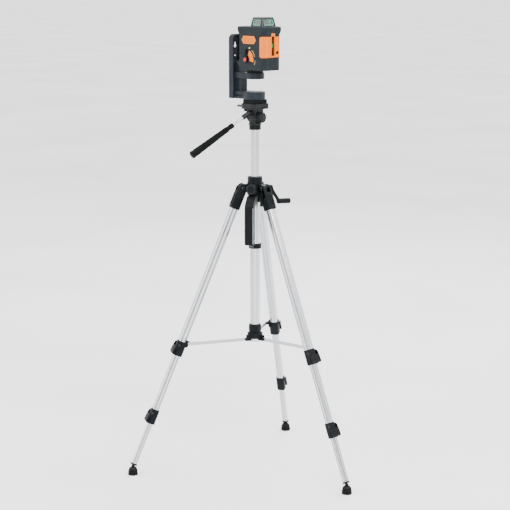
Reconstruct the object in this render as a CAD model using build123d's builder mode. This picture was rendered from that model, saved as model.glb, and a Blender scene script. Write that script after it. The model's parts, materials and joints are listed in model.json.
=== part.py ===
"""Cross-line laser level on its wall bracket, screwed to the pan head of an aluminium tripod.

Millimetres. +Z is up and the origin is on the floor under the column's axis. +X is the way the laser faces.
The front leg points along +X, and the other two stand 120 degrees round from it.
"""

import os
from math import cos, pi, radians, sin

from build123d import *

os.makedirs("parts", exist_ok=True)

# ---------------------------------------------------------------- clearances
slide_gap = 0.4  # round a tube that slides in another
run_gap = 0.1  # round a pin in its bore
face_gap = 0.3  # between faces that pass each other
seat_gap = 0.05  # round a piece in its fixed seat
past = 5.0  # how far a cut runs on beyond what it cuts
root = 1.0  # how deep one shape of a piece is sunk in the next, so that they join

# ---------------------------------------------------------------- tripod: driving dimensions
leg_names = ["front", "left", "right"]
leg_azimuths = [0, 120, 240]
splay = 22.2  # a leg's angle from the vertical
hinge_radius = 32.0
hinge_to_clamp = 430.0  # from a leg's hinge to the middle of its upper clamp
clamp_spacing = 184.0
clamp_to_foot = 138.0  # from the lower clamp to the foot's swivel
upper_width, upper_depth = 20.0, 19.0  # across the leg, and in the leg's own plane
leg_wall = 1.2
tube_corner = 5.5
middle_length = 395.0
lower_length = 370.0
shoulder_length, shoulder_width = 56.0, 25.0
shoulder_inner, shoulder_outer = 11.0, 13.0  # its faces, from the leg's axis
shoulder_corner, shoulder_edge = 4.0, 1.0
ear_radius, ear_web = 10.0, 3.0  # an ear, and the metal between the ears' slot and the tube
hinge_pin_radius = 3.0
tongue_width, tongue_inset = 12.0, 1.5  # the crown's tongue, and how far its edge lies inside the ears'
clamp_length, clamp_wall = 38.0, 2.4
clamp_lip, clamp_edge = 11.4, 0.8  # its lip under the outer tube's end, and its chamfer
lever_pivot_up, lever_pivot_out = 9.0, 7.5
lever_pin_radius = 1.6
cheek_thickness, lever_plate, lever_notch = 1.8, 3.4, 4.8

foot_height, swivel_ball = 20.0, 5.0
foot_top_radius, foot_sole_radius = 8.5, 12.5
foot_rim, foot_body = 4.0, 17.0
foot_shoulder, foot_flare = 4.0, 0.8  # where the rubber starts to spread, and how much wider it is there
plug_drop, plug_thickness = 10.0, 4.0  # the leg's end plug, over the swivel
swivel_neck = 3.2

crown_drop, crown_height = 18.2547, 31.0  # its underside under the hinges, and its height
crown_radius, crown_skirt_radius, crown_skirt_height = 19.5, 17.0, 18.0
crown_ring_radius, crown_ring_height = 18.3, 14.0
crown_ring_edge, crown_lip = 1.5, 3.0  # the ring's rounded rim, and the metal over the guide tube's end
boss_radius, boss_reach = 8.0, 28.0

column_radius, column_wall = 10.2, 1.2
column_out, column_length = 116.0, 395.0  # how far it stands out of the crown's ring, and its whole length
guide_radius, guide_wall = 12.2, 1.4
guide_tail = 9.0  # how far the guide tube comes out under the hub

gear_module, gear_teeth = 1.0, 8
gear_addendum, gear_root = 0.8, 1.1
gear_start, gear_width = 0.8, 5.0
rack_down, rack_up = 150.0, 98.0  # how far the teeth reach under and over the shaft
rack_back = 6.2  # the rack's back face, from the column's axis
crank_azimuth, lock_azimuth = 60, 300
crank_rise = 17.0  # the crank's shaft over the crown's underside
crank_shaft_radius = 2.0
crank_reach, crank_drop = 38.0, 36.0  # where the arm starts, and how far it comes down
crank_spread = 22.0  # how far the arm swings out on the way down
crank_width, crank_thickness, crank_web = 9.0, 6.0, 1.5
crank_hub_radius = 6.0
crank_knob_length, crank_knob_radius, crank_knob_edge = 28.0, 6.6, 2.5
lock_knob_radius, lock_knob_length = 13.5, 11.0
lock_lobes, lock_lobe_radius, lock_lobe_out = 8, 2.6, 1.2
lock_screw_radius = 3.0

hub_rise, hub_height = 2.0, 36.0  # its underside over the brace pivots, and its height
hub_flange_radius, hub_flange_height = 19.5, 13.0
hub_sleeve_radius, hub_edge = 15.0, 1.0
brace_rise, brace_inset = 13.8697, 22.4715  # the outer pivot over its clamp's middle, and inside it
brace_inner = 24.0  # radius of a brace's inner pivot
brace_depth, brace_thickness = 8.0, 2.2
brace_side_inner, brace_side_outer = 6.0, 16.4  # how far a brace lies beside its leg's plane
brace_pin_radius, brace_ear_radius, brace_ear = 1.5, 4.2, 2.4
brace_tip, brace_knee, brace_shank = 4.0, 8.0, 44.0  # past its pivots, and its two bends from them
rivet_radius, rivet_length = 2.6, 2.0
lug_seat, lug_tail = 5.0, 13.0  # a strut's lug: how deep it is rooted in its clamp, and its reach downwards

carry_reach, carry_width, carry_depth = 51.0, 22.0, 17.0
carry_drop, carry_length = 19.0, 100.0  # its top under the crown's underside, and its length
carry_ring_height, carry_ring_wall = 12.0, 3.6
carry_edge, carry_stay = 5.0, 8.0  # its rounding, and the width of the stay to the guide tube

# ---------------------------------------------------------------- pan head: driving dimensions
collar_radius, collar_height, collar_seat = 14.5, 11.0, 14.0
collar_overlap = 2.0  # how far the collar comes down over the column
spindle_radius = 5.0
disc_radius, disc_height = 15.5, 5.0
tilt_rise = 20.0  # the tilt axis over the collar's top
lug_radius, lug_neck, lug_half = 13.0, 10.0, 11.0
cheek_radius, cheek_outer = 13.5, 16.0
tilt_pin_radius = 4.0
tilt_top_rise, tilt_bridge = 20.0, 5.5  # the tilt block's top over its axis, and its thickness there
flip_x, flip_drop = -20.0, 3.7  # the side-tilt axis
knuckle_radius, knuckle_half, flip_pin_radius = 3.4, 7.6, 1.5
platform_size, platform_height, platform_corner = 50.0, 13.0, 5.0
platform_grooves, groove_width, groove_depth, groove_pitch = 3, 1.4, 0.8, 3.3
plate_x, plate_y, plate_height, plate_corner, plate_edge = 42.0, 46.0, 10.0, 4.0, 1.0
screw_radius, screw_reach = 3.1, 8.0  # quarter-inch camera thread
tilt_knob_radius, tilt_knob_length, tilt_knob_edge = 13.0, 11.0, 0.8
tilt_lobes, tilt_lobe_radius, tilt_lobe_out = 10, 2.0, 1.0
release_x, release_y, release_radius = -20.5, -20.0, 4.5
release_reach, release_width, release_thickness, release_pin = 19.0, 7.0, 5.4, 2.0
notch_room = 3.0  # round the release lever in its notch
handle_droop, handle_side = 30.0, -13.0  # down, and round from the rear
handle_back, handle_rise = 16.0, 12.5  # where its axis starts, behind and over the tilt axis
socket_radius, socket_length = 6.3, 25.0
socket_web, rod_seat = 4.0, 14.0  # half the block behind the socket, and how deep the rod sits in it
rod_radius, rod_reach = 3.0, 57.0
grip_length, grip_top_radius, grip_end_radius = 134.0, 6.4, 9.6
grip_seat, grip_edge = 20.0, 2.0  # how deep the rod sits in the grip, and the grip's rounded ends

# ---------------------------------------------------------------- bracket, in heights over its underside
foot_slab, foot_round, foot_neck = 19.0, 25.0, 15.0
arm_bottom, arm_thickness, arm_round, arm_half = 50.0, 15.0, 23.0, 15.0
bracket_height, bracket_width, bracket_corner, bracket_edge = 157.0, 43.0, 12.0, 1.5
plate_front, tray_depth, tray_wall = -55.0, 16.7, 3.0
tray_floor = 94.0
web_length, web_half, gusset_length, gusset_rise = 18.0, 10.0, 26.0, 26.0
slot_start, slot_low, slot_high = 3.0, 6.0, 10.0  # the belt slot: from the back plate, and its heights
keyhole_height, keyhole_radius, keyslot_radius, keyslot_rise = 128.0, 4.2, 2.2, 9.0
wall_hole_height, wall_hole_radius = 104.0, 2.2
wheel_radius, wheel_height, wheel_teeth, wheel_tooth_radius, wheel_tooth_out = 20.5, 7.0, 40, 1.1, 0.5
wheel_screw_radius, wheel_screw_up, wheel_screw_down = 3.1, 9.0, 11.0

# ---------------------------------------------------------------- laser, in heights over its underside
body_back, body_front, body_width, body_height = -27.0, 61.5, 61.0, 105.0
body_wall, body_floor = 2.5, 13.0
front_chamfer, rear_chamfer, heel_cut, deck_edge, deck_wall = 9.0, 4.0, 9.0, 2.0, 4.0
flare, flare_low, flare_high = 3.2, 21.0, 10.0  # the brow's start and end are under the deck's top
panel_back, panel_low, panel_drop, panel_tab_rise = 46.0, 31.0, 23.0, 8.0  # its top under the deck's
panel_depth, panel_proud = 1.5, 0.8
slit_half, slit_sill, slit_depth = 7.0, 5.0, 11.0  # its foot is over the panel's
slit_wall, slit_trim = 2.0, 2.0  # the slit's own walls, and how far the panel covers its sides
window_half, window_thickness = 4.5, 1.5
button_y, button_height, button_radius, button_travel = 14.0, 43.0, 3.8, 0.6
button_gap, button_stem, button_back = 0.1, 2.0, 8.0  # its stem's radius, and how far back the stem starts
label_x, label_drop, label_long, label_tall, label_proud = 9.5, 32.0, 49.0, 19.0, 0.6
switch_x, switch_height, switch_head, switch_tip, switch_long = 0.5, 25.5, 6.4, 2.3, 22.0
switch_proud, switch_cap, switch_rim, switch_post, switch_post_length = 3.4, 1.1, 1.4, 2.0, 9.0
dish_radius, dish_depth = 26.5, 1.2
door_back, door_front, door_low, door_drop, door_thickness = -16.0, 34.0, 20.0, 29.0, 2.2
door_ribs, door_rib_width, door_rib_pitch, door_rib_proud, door_rib_inset = 5, 1.8, 4.0, 0.7, 10.0
cage_back, cage_front, cage_width, cage_height, cage_taper = 6.7, 49.9, 51.0, 22.5, 5.0
cage_post, cage_roof, cage_sill, cage_edge = 6.0, 5.0, 3.0, 1.2
cage_corner, cage_roof_corner, cage_window_corner, cage_window_trim = 5.0, 4.0, 3.0, 4.0
glass_seat, glass_thickness = 3.0, 1.2  # how far the glass reaches behind a post, and its wall
optic_radius, optic_hole, optic_hang, optic_pin_radius = 11.0, 15.5, 26.0, 1.2
optic_pivot_drop = 8.0  # its pin under the deck's top
optic_lug_half, optic_lug_lap, optic_lug_tuck = 4.0, 1.4, 3.0  # the lugs that hold the pin
optic_rise, optic_cone, optic_cone_tip = 12.0, 6.0, 3.0

# ---------------------------------------------------------------- places worked out from them
leg_length = hinge_to_clamp + clamp_spacing + clamp_to_foot
hinge_height = foot_height + leg_length * cos(radians(splay))
foot_circle = hinge_radius + leg_length * sin(radians(splay))
clamp_height = hinge_height - hinge_to_clamp * cos(radians(splay))
brace_height = clamp_height + brace_rise
brace_outer = hinge_radius + hinge_to_clamp * sin(radians(splay)) - brace_inset
hub_bottom = brace_height + hub_rise
guide_bottom = hub_bottom - guide_tail
crown_bottom = hinge_height - crown_drop
crown_top = crown_bottom + crown_height
crank_height = crown_bottom + crank_rise
carry_top = crown_bottom - carry_drop
carry_bottom = carry_top - carry_length
ring_top = crown_top + crown_ring_height
collar_bottom = ring_top + column_out
collar_top = collar_bottom + collar_height
column_bottom = collar_bottom + collar_overlap - column_length
tilt_height = collar_top + tilt_rise
tilt_top = tilt_height + tilt_top_rise
flip_height = tilt_top - flip_drop
platform_bottom = tilt_top + face_gap
plate_bottom = platform_bottom + platform_height
plate_top = plate_bottom + plate_height
arm_top = arm_bottom + arm_thickness
wheel_bottom = plate_top + arm_top + face_gap
laser_base = wheel_bottom + wheel_height + face_gap
gear_radius = gear_module * gear_teeth / 2
side_face = body_width / 2
flare_start = body_height - flare_low
flare_end = body_height - flare_high
panel_high = body_height - panel_drop
panel_tab = panel_high + panel_tab_rise
slit_low = panel_low + slit_sill
slit_high = panel_high
label_height = body_height - label_drop
door_high = body_height - door_drop


def spoke(radius, azimuth, height=0.0):
    """The point at this radius and azimuth."""
    return (radius * cos(radians(azimuth)), radius * sin(radians(azimuth)), height)


def facing(azimuth, radius, height, side=0.0):
    """An upright plane that looks out along the azimuth: its x is level and its y is up."""
    along = Vector(spoke(1, azimuth + 90))
    origin = Vector(spoke(radius, azimuth, height)) + along * side
    return Plane(origin=origin, x_dir=along, z_dir=Vector(spoke(1, azimuth)))


def radial(azimuth, height=0.0, side=0.0):
    """An upright plane through the column's axis: its x points out along the azimuth and its y is up."""
    origin = Vector(spoke(side, azimuth + 90, height))
    return Plane(origin=origin, x_dir=spoke(1, azimuth), z_dir=spoke(1, azimuth - 90))


def placed(plane, x, y, z):
    """A plane that faces the same way, moved to this point."""
    return Plane(origin=(x, y, z), x_dir=plane.x_dir, z_dir=plane.z_dir)


def block(x0, x1, y0, y1, z0, z1, mode=Mode.ADD):
    """A box between two corners, joined to the piece that is being built."""
    with Locations(((x0 + x1) / 2, (y0 + y1) / 2, (z0 + z1) / 2)):
        Box(x1 - x0, y1 - y0, z1 - z0, mode=mode)


def rod(plane, length, radius, mode=Mode.ADD):
    """A cylinder that rises from a plane, joined to the piece that is being built."""
    with Locations(plane):
        Cylinder(radius, length, align=(Align.CENTER, Align.CENTER, Align.MIN), mode=mode)


def bar(plane, length, radius, mode=Mode.ADD):
    """A cylinder centred on a plane, joined to the piece that is being built."""
    with Locations(plane):
        Cylinder(radius, length, mode=mode)


def keep(piece, name, place=None):
    """Puts a finished piece at its place, labels it and writes its STEP file."""
    made = piece if place is None else place * piece
    made.label = name
    export_step(made, f"parts/{name}.step")


# ================================================================ LEGS
# A leg is drawn hanging straight down from its hinge at the origin: +X points away from the column.
leg_across = Plane(origin=(0, 0, 0), x_dir=(1, 0, 0), z_dir=(0, -1, 0))
step_in = leg_wall + slide_gap
middle_width, middle_depth = upper_width - 2 * step_in, upper_depth - 2 * step_in
lower_width, lower_depth = middle_width - 2 * step_in, middle_depth - 2 * step_in
middle_corner, lower_corner = tube_corner - step_in, tube_corner - 2 * step_in
upper_clamp_z = -hinge_to_clamp
lower_clamp_z = upper_clamp_z - clamp_spacing
lug_run, lug_fall = brace_outer - hinge_radius, hinge_height - brace_height
lug_x = lug_run * cos(radians(splay)) - lug_fall * sin(radians(splay))
lug_z = -lug_run * sin(radians(splay)) - lug_fall * cos(radians(splay))
lug_face = brace_side_outer - brace_thickness / 2 - face_gap


def across(x, z, y=0.0):
    """The plane across a leg at a point of its own drawing."""
    return Plane(origin=(x, y, z), x_dir=(1, 0, 0), z_dir=(0, -1, 0))


def leg_tube(width, depth, corner, top, length):
    """A drawn tube, rounded square in section."""
    with BuildPart() as made:
        with BuildSketch(Plane.XY.offset(top - length)):
            RectangleRounded(depth, width, corner)
            offset(amount=-leg_wall, mode=Mode.SUBTRACT)
        extrude(amount=length)
    return made.part


def shoulder():
    """The casting at the top of a leg: two ears on the hinge pin and a socket for the upper tube."""
    slot = tongue_width / 2 + face_gap
    slot_end = ear_radius + ear_web
    middle_x = (shoulder_outer - shoulder_inner) / 2
    with BuildPart() as made:
        with BuildSketch(leg_across):
            Circle(ear_radius)
            with Locations((middle_x, -shoulder_length / 2)):
                Rectangle(shoulder_outer + shoulder_inner, shoulder_length)
            with Locations((middle_x, ear_radius / 2)):
                Rectangle(2 * shoulder_outer, ear_radius, mode=Mode.SUBTRACT)
            Circle(ear_radius)
        extrude(amount=shoulder_width / 2, both=True)
        fillet(made.edges().filter_by(Axis.Z), shoulder_corner)
        chamfer(made.faces().sort_by(Axis.Z)[0].outer_wire().edges(), shoulder_edge)
        block(-2 * shoulder_inner, 2 * shoulder_outer, -slot, slot, -slot_end, 2 * ear_radius, Mode.SUBTRACT)
        bar(leg_across, 2 * shoulder_width, hinge_pin_radius + run_gap, Mode.SUBTRACT)
        with BuildSketch(Plane.XY.offset(-shoulder_length)):
            RectangleRounded(upper_depth + 2 * seat_gap, upper_width + 2 * seat_gap, tube_corner)
        extrude(amount=shoulder_length - slot_end - ear_web, mode=Mode.SUBTRACT)
    return made.part


def leg_clamp(middle, width, depth, corner, inner_corner, lugged):
    """A collar on a tube's lower end that closes on the tube inside it, with a pin for its lever."""
    outer_width, outer_depth = width + 2 * clamp_wall, depth + 2 * clamp_wall
    bottom = middle - clamp_length / 2
    pin_length = outer_width + 2 * face_gap + 2 * cheek_thickness
    with BuildPart() as made:
        with BuildSketch(Plane.XY.offset(bottom)):
            RectangleRounded(outer_depth, outer_width, corner + clamp_wall)
        extrude(amount=clamp_length)
        chamfer(made.faces().filter_by(Axis.Z).edges(), clamp_edge)
        bar(across(lever_pivot_out, middle + lever_pivot_up), pin_length, lever_pin_radius)
        if lugged:
            lug_root, lug_side = outer_width / 2 - lug_seat, outer_width / 2 - root / 2
            block(lug_x, -outer_depth / 4, lug_root, lug_side, lug_z - lug_tail, lug_z + brace_ear_radius)
            rod(across(lug_x, lug_z, lug_face), lug_face - lug_root, brace_ear_radius)
        with BuildSketch(Plane.XY.offset(bottom + clamp_lip)):
            RectangleRounded(depth + 2 * seat_gap, width + 2 * seat_gap, corner)
        extrude(amount=clamp_length, mode=Mode.SUBTRACT)
        with BuildSketch(Plane.XY.offset(bottom - past)):
            RectangleRounded(depth - 2 * leg_wall, width - 2 * leg_wall, inner_corner + slide_gap)
        extrude(amount=clamp_lip + 2 * past, mode=Mode.SUBTRACT)
    return made.part


def flip_lever(middle, width, depth):
    """A lever with two cheeks on the clamp's pin and a finger plate over its outer face."""
    inner_half = width / 2 + clamp_wall + face_gap
    plate_in = depth / 2 + clamp_wall + face_gap
    plate_out = plate_in + lever_plate
    pivot = middle + lever_pivot_up
    foot = middle - clamp_length / 2
    high = middle + clamp_length
    with BuildPart() as made:
        with BuildSketch(leg_across):
            with BuildLine():
                Polyline(
                    (lever_pivot_out - 4, pivot - 3),
                    (lever_pivot_out - 4, pivot + 4),
                    (lever_pivot_out, pivot + 7),
                    (plate_out - 2, pivot + 3),
                    (plate_out + 0.8, middle - 4),
                    (plate_out + 1.6, foot + 4),
                    (plate_out - 0.6, foot + 1.5),
                    (plate_in, foot + 3),
                    (plate_in, middle - 6),
                    close=True,
                )
            make_face()
        extrude(amount=inner_half + cheek_thickness, both=True)
        block(-depth, plate_in, -inner_half, inner_half, middle - clamp_length, high, Mode.SUBTRACT)
        block(0, 2 * plate_out, -inner_half, inner_half, pivot - lever_notch, high, Mode.SUBTRACT)
        bar(across(lever_pivot_out, pivot), 3 * width, lever_pin_radius + run_gap, Mode.SUBTRACT)
    return made.part


def lower_section():
    """The bottom leg section, closed by a flared plug whose ball carries the foot."""
    end = -leg_length + plug_drop
    with BuildPart() as made:
        with BuildSketch(Plane.XY.offset(end)):
            RectangleRounded(lower_depth, lower_width, lower_corner)
            offset(amount=-leg_wall, mode=Mode.SUBTRACT)
        extrude(amount=lower_length)
        with BuildSketch(Plane.XY.offset(end)):
            RectangleRounded(lower_depth, lower_width, lower_corner)
        extrude(amount=plug_thickness)
        rod(Plane.XY.offset(-leg_length), plug_drop + root, swivel_neck)
        with Locations((0, 0, -leg_length)):
            Sphere(swivel_ball)
    return made.part


def foot_piece():
    """A rubber foot, drawn upright with its swivel at the origin."""
    with BuildPart() as made:
        with BuildSketch(Plane.XZ):
            with BuildLine():
                Polyline(
                    (0, -foot_height),
                    (foot_sole_radius, -foot_height),
                    (foot_sole_radius, foot_rim - foot_height),
                    (foot_top_radius + foot_flare, foot_body - foot_height - foot_shoulder),
                    (foot_top_radius, foot_body - foot_height),
                    (0, foot_body - foot_height),
                    close=True,
                )
            make_face()
        revolve(axis=Axis.Z)
        Sphere(swivel_ball + slide_gap, mode=Mode.SUBTRACT)
    return made.part


upper_tube_top = -ear_radius - 2 * ear_web
tube_end = clamp_lip - clamp_length / 2  # a tube's lower end, from the middle of the clamp that sits on it
upper_tube_length = upper_tube_top - upper_clamp_z - tube_end
middle_top = lower_clamp_z + tube_end + middle_length
leg_pieces = {
    "shoulder": shoulder(),
    "upper_tube": leg_tube(upper_width, upper_depth, tube_corner, upper_tube_top, upper_tube_length),
    "upper_clamp": leg_clamp(upper_clamp_z, upper_width, upper_depth, tube_corner, middle_corner, True),
    "upper_lever": flip_lever(upper_clamp_z, upper_width, upper_depth),
    "middle_tube": leg_tube(middle_width, middle_depth, middle_corner, middle_top, middle_length),
    "lower_clamp": leg_clamp(lower_clamp_z, middle_width, middle_depth, middle_corner, lower_corner, False),
    "lower_lever": flip_lever(lower_clamp_z, middle_width, middle_depth),
    "lower_tube": lower_section(),
}
foot = foot_piece()
for leg, azimuth in zip(leg_names, leg_azimuths):
    leg_place = Pos(*spoke(hinge_radius, azimuth, hinge_height)) * Rot(0, 0, azimuth) * Rot(0, -splay, 0)
    for piece_name, piece in leg_pieces.items():
        keep(piece, f"{leg}_leg_{piece_name}", leg_place)
    keep(foot, f"{leg}_foot", Pos(*spoke(foot_circle, azimuth, foot_height)) * Rot(0, 0, azimuth))

# ================================================================ BRACES AND THEIR HUB
brace_half = brace_thickness / 2
with BuildPart() as brace:
    with BuildSketch(Plane.XY.offset(-brace_depth / 2)):
        with BuildLine():
            Polyline(
                (brace_inner - brace_tip, brace_side_inner - brace_half),
                (brace_inner + brace_knee, brace_side_inner - brace_half),
                (brace_outer - brace_shank, brace_side_outer - brace_half),
                (brace_outer + brace_tip, brace_side_outer - brace_half),
                (brace_outer + brace_tip, brace_side_outer + brace_half),
                (brace_outer - brace_shank, brace_side_outer + brace_half),
                (brace_inner + brace_knee, brace_side_inner + brace_half),
                (brace_inner - brace_tip, brace_side_inner + brace_half),
                close=True,
            )
        make_face()
    extrude(amount=brace_depth)
    brace_ends = brace.edges().filter_by(Axis.Y).group_by(Axis.X)
    fillet(brace_ends[0] + brace_ends[-1], 0.45 * brace_depth)
    bar(placed(Plane.XZ, brace_inner, 0, 0), 4 * brace_side_inner, brace_pin_radius + run_gap, Mode.SUBTRACT)
    bar(placed(Plane.XZ, brace_outer, brace_side_outer + brace_half, 0), rivet_length, rivet_radius)

ear_offset = brace_half + face_gap + brace_ear / 2
ear_root, ear_rise = 3.0, 6.0  # how far an ear reaches into the sleeve, and its web over the pivot
with BuildPart() as brace_hub:
    rod(Plane.XY.offset(hub_bottom), hub_flange_height, hub_flange_radius)
    rod(Plane.XY.offset(hub_bottom), hub_height, hub_sleeve_radius)
    fillet(brace_hub.edges().filter_by(GeomType.CIRCLE).group_by(Axis.Z)[-1], hub_edge)
    for azimuth in leg_azimuths:
        for side in (-1, 1):
            with BuildSketch(radial(azimuth, brace_height, brace_side_inner + side * ear_offset)):
                with Locations((brace_inner, 0)):
                    Circle(brace_ear_radius)
                with Locations(((hub_sleeve_radius - ear_root + brace_inner) / 2, ear_rise / 2)):
                    Rectangle(brace_inner - hub_sleeve_radius + ear_root, 2 * brace_ear_radius + ear_rise)
            extrude(amount=brace_ear / 2, both=True)
        ear_axis = facing(azimuth + 90, brace_side_inner, brace_height, -brace_inner)
        bar(ear_axis, 2 * ear_offset + brace_ear, brace_pin_radius)
    rod(Plane.XY.offset(hub_bottom - past), hub_height + 2 * past, guide_radius + slide_gap, Mode.SUBTRACT)
keep(brace_hub.part, "brace_hub")
for leg, azimuth in zip(leg_names, leg_azimuths):
    keep(brace.part, f"{leg}_brace", Pos(0, 0, brace_height) * Rot(0, 0, azimuth))

# ================================================================ CROWN, GUIDE TUBE AND CARRY HANDLE
crown_foot = crown_bottom - crown_skirt_height
guide_top = crown_top - crown_lip
with BuildPart() as crown:
    rod(Plane.XY.offset(crown_foot), crown_skirt_height, crown_skirt_radius)
    rod(Plane.XY.offset(crown_bottom), crown_top - crown_bottom, crown_radius)
    rod(Plane.XY.offset(crown_top), crown_ring_height, crown_ring_radius)
    fillet(crown.faces().sort_by(Axis.Z)[-1].edges(), crown_ring_edge)
    for azimuth in leg_azimuths:
        with BuildSketch(radial(azimuth, hinge_height)):
            with Locations((hinge_radius, 0)):
                Circle(ear_radius - tongue_inset)
            with Locations((hinge_radius / 2, 0)):
                Rectangle(hinge_radius, 2 * (ear_radius - tongue_inset))
        extrude(amount=tongue_width / 2, both=True)
        hinge_axis = facing(azimuth + 90, 0, hinge_height, -hinge_radius)
        bar(hinge_axis, shoulder_width + 2 * face_gap, hinge_pin_radius)
    rod(facing(crank_azimuth, 0, crank_height), boss_reach, boss_radius)
    rod(facing(lock_azimuth, 0, crank_height), boss_reach, boss_radius)
    guide_seat = guide_radius + seat_gap
    rod(Plane.XY.offset(crown_foot - past), guide_top - crown_foot + past, guide_seat, Mode.SUBTRACT)
    rod(Plane.XY.offset(crown_foot), ring_top - crown_foot + past, column_radius + slide_gap, Mode.SUBTRACT)
    rod(facing(crank_azimuth, 0, crank_height), 2 * boss_reach, crank_shaft_radius + run_gap, Mode.SUBTRACT)
    rod(facing(lock_azimuth, 0, crank_height), 2 * boss_reach, lock_screw_radius + run_gap, Mode.SUBTRACT)
keep(crown.part, "crown")

with BuildPart() as guide_tube:
    with BuildSketch(Plane.XY.offset(guide_bottom)):
        Circle(guide_radius)
        Circle(guide_radius - guide_wall, mode=Mode.SUBTRACT)
    extrude(amount=guide_top - guide_bottom)
    rod(facing(crank_azimuth, 0, crank_height), 2 * boss_reach, crank_shaft_radius + face_gap, Mode.SUBTRACT)
    rod(facing(lock_azimuth, 0, crank_height), 2 * boss_reach, lock_screw_radius + face_gap, Mode.SUBTRACT)
keep(guide_tube.part, "guide_tube")

carry_in, carry_out = carry_reach - carry_depth / 2, carry_reach + carry_depth / 2
carry_ring_top = carry_bottom - 4
with BuildPart() as carry_handle:
    with BuildSketch(radial(lock_azimuth)):
        with BuildLine():
            Polyline(
                (crown_skirt_radius - 4, crown_foot + 1),
                (crown_skirt_radius - 4, crown_bottom - 1),
                (carry_in - 8, crown_bottom - 1),
                (carry_out, carry_top - 4),
                (carry_out, carry_bottom),
                (carry_in, carry_bottom),
                (carry_in, carry_top - 12),
                (carry_in - 4, carry_top - 6),
                close=True,
            )
        make_face()
    extrude(amount=carry_width / 2, both=True)
    long_edges = carry_handle.edges().filter_by(Axis.Z).group_by(SortBy.LENGTH)[-1]
    fillet(long_edges, carry_edge)
    with BuildSketch(radial(lock_azimuth)):
        with BuildLine():
            Polyline(
                (guide_radius + 1, carry_ring_top),
                (carry_in + 2, carry_bottom + 7),
                (carry_out - 3, carry_bottom + 0.5),
                (carry_in, carry_bottom - 3),
                (guide_radius + 1, carry_ring_top - carry_ring_height),
                close=True,
            )
        make_face()
    extrude(amount=carry_stay / 2, both=True)
    ring_bottom = carry_ring_top - carry_ring_height
    rod(Plane.XY.offset(ring_bottom), carry_ring_height, guide_radius + carry_ring_wall)
    rod(Plane.XY.offset(ring_bottom - past), carry_ring_height + 2 * past, guide_seat, Mode.SUBTRACT)
    rod(Plane.XY.offset(crown_foot - past), crown_bottom - crown_foot + past, crown_skirt_radius + seat_gap,
        Mode.SUBTRACT)
keep(carry_handle.part, "carry_handle")

# ================================================================ COLUMN AND ITS LIFT GEAR
# The shaft enters the column through a lengthwise slot, and its pinion turns inside, against a rack.
# In this section's plan, x points along the shaft and y to the rack's side.
shaft_plan = Plane(origin=(0, 0, 0), x_dir=spoke(1, crank_azimuth), z_dir=(0, 0, 1))
gear_view = facing(crank_azimuth, 0, crank_height)
crank_socket = crank_reach + crank_thickness - crank_web
pitch = pi * gear_module
column_bore = column_radius - column_wall
rack_tip, rack_root = gear_radius - gear_addendum, gear_radius + gear_root
shaft_slot = crank_shaft_radius + face_gap
with BuildPart() as column_tube:
    with BuildSketch(shaft_plan.offset(column_bottom)):
        Circle(column_radius)
        Circle(column_bore, mode=Mode.SUBTRACT)
        with Locations((column_radius, 0)):
            Rectangle(2 * column_wall + 4, 2 * shaft_slot, mode=Mode.SUBTRACT)
    extrude(amount=column_length)
    with BuildSketch(shaft_plan.offset(crank_height - rack_down)):
        Circle(column_bore)
        with Locations((0, rack_root - column_bore)):
            Rectangle(3 * column_bore, 2 * column_bore, mode=Mode.SUBTRACT)
        with Locations((gear_start - column_bore, 0)):
            Rectangle(2 * column_bore, 3 * column_bore, mode=Mode.SUBTRACT)
        with Locations((gear_start + gear_width + column_bore, 0)):
            Rectangle(2 * column_bore, 3 * column_bore, mode=Mode.SUBTRACT)
    extrude(amount=rack_down + rack_up)
    tooth_first, tooth_last = -int(rack_down / pitch), int(rack_up / pitch)
    with BuildSketch(gear_view.offset(gear_start)):
        for tooth in range(tooth_first, tooth_last):
            rise = (tooth + 0.5) * pitch
            with BuildLine():
                Polyline(
                    (rack_root + 0.4, rise - 0.33 * pitch),
                    (rack_tip, rise - 0.11 * pitch),
                    (rack_tip, rise + 0.11 * pitch),
                    (rack_root + 0.4, rise + 0.33 * pitch),
                    close=True,
                )
            make_face()
    extrude(amount=gear_width)
keep(column_tube.part, "column_tube")


def gear_point(radius, angle):
    """A point of the pinion, with the angle counted from the rack's side."""
    return (radius * cos(radians(angle)), radius * sin(radians(angle)))


with BuildPart() as lift_pinion:
    root_radius, tip_radius = gear_radius - gear_root, gear_radius + gear_addendum
    rod(gear_view.offset(gear_start), gear_width, root_radius)
    with BuildSketch(gear_view.offset(gear_start)):
        for tooth in range(gear_teeth):
            turn = tooth * 360 / gear_teeth
            with BuildLine():
                Polyline(
                    gear_point(root_radius - 0.4, turn - 15),
                    gear_point(gear_radius, turn - 9),
                    gear_point(tip_radius, turn - 4),
                    gear_point(tip_radius, turn + 4),
                    gear_point(gear_radius, turn + 9),
                    gear_point(root_radius - 0.4, turn + 15),
                    close=True,
                )
            make_face()
    extrude(amount=gear_width)
    rod(gear_view.offset(gear_start), crank_socket - seat_gap - gear_start, crank_shaft_radius)
keep(lift_pinion.part, "lift_pinion")

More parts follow.
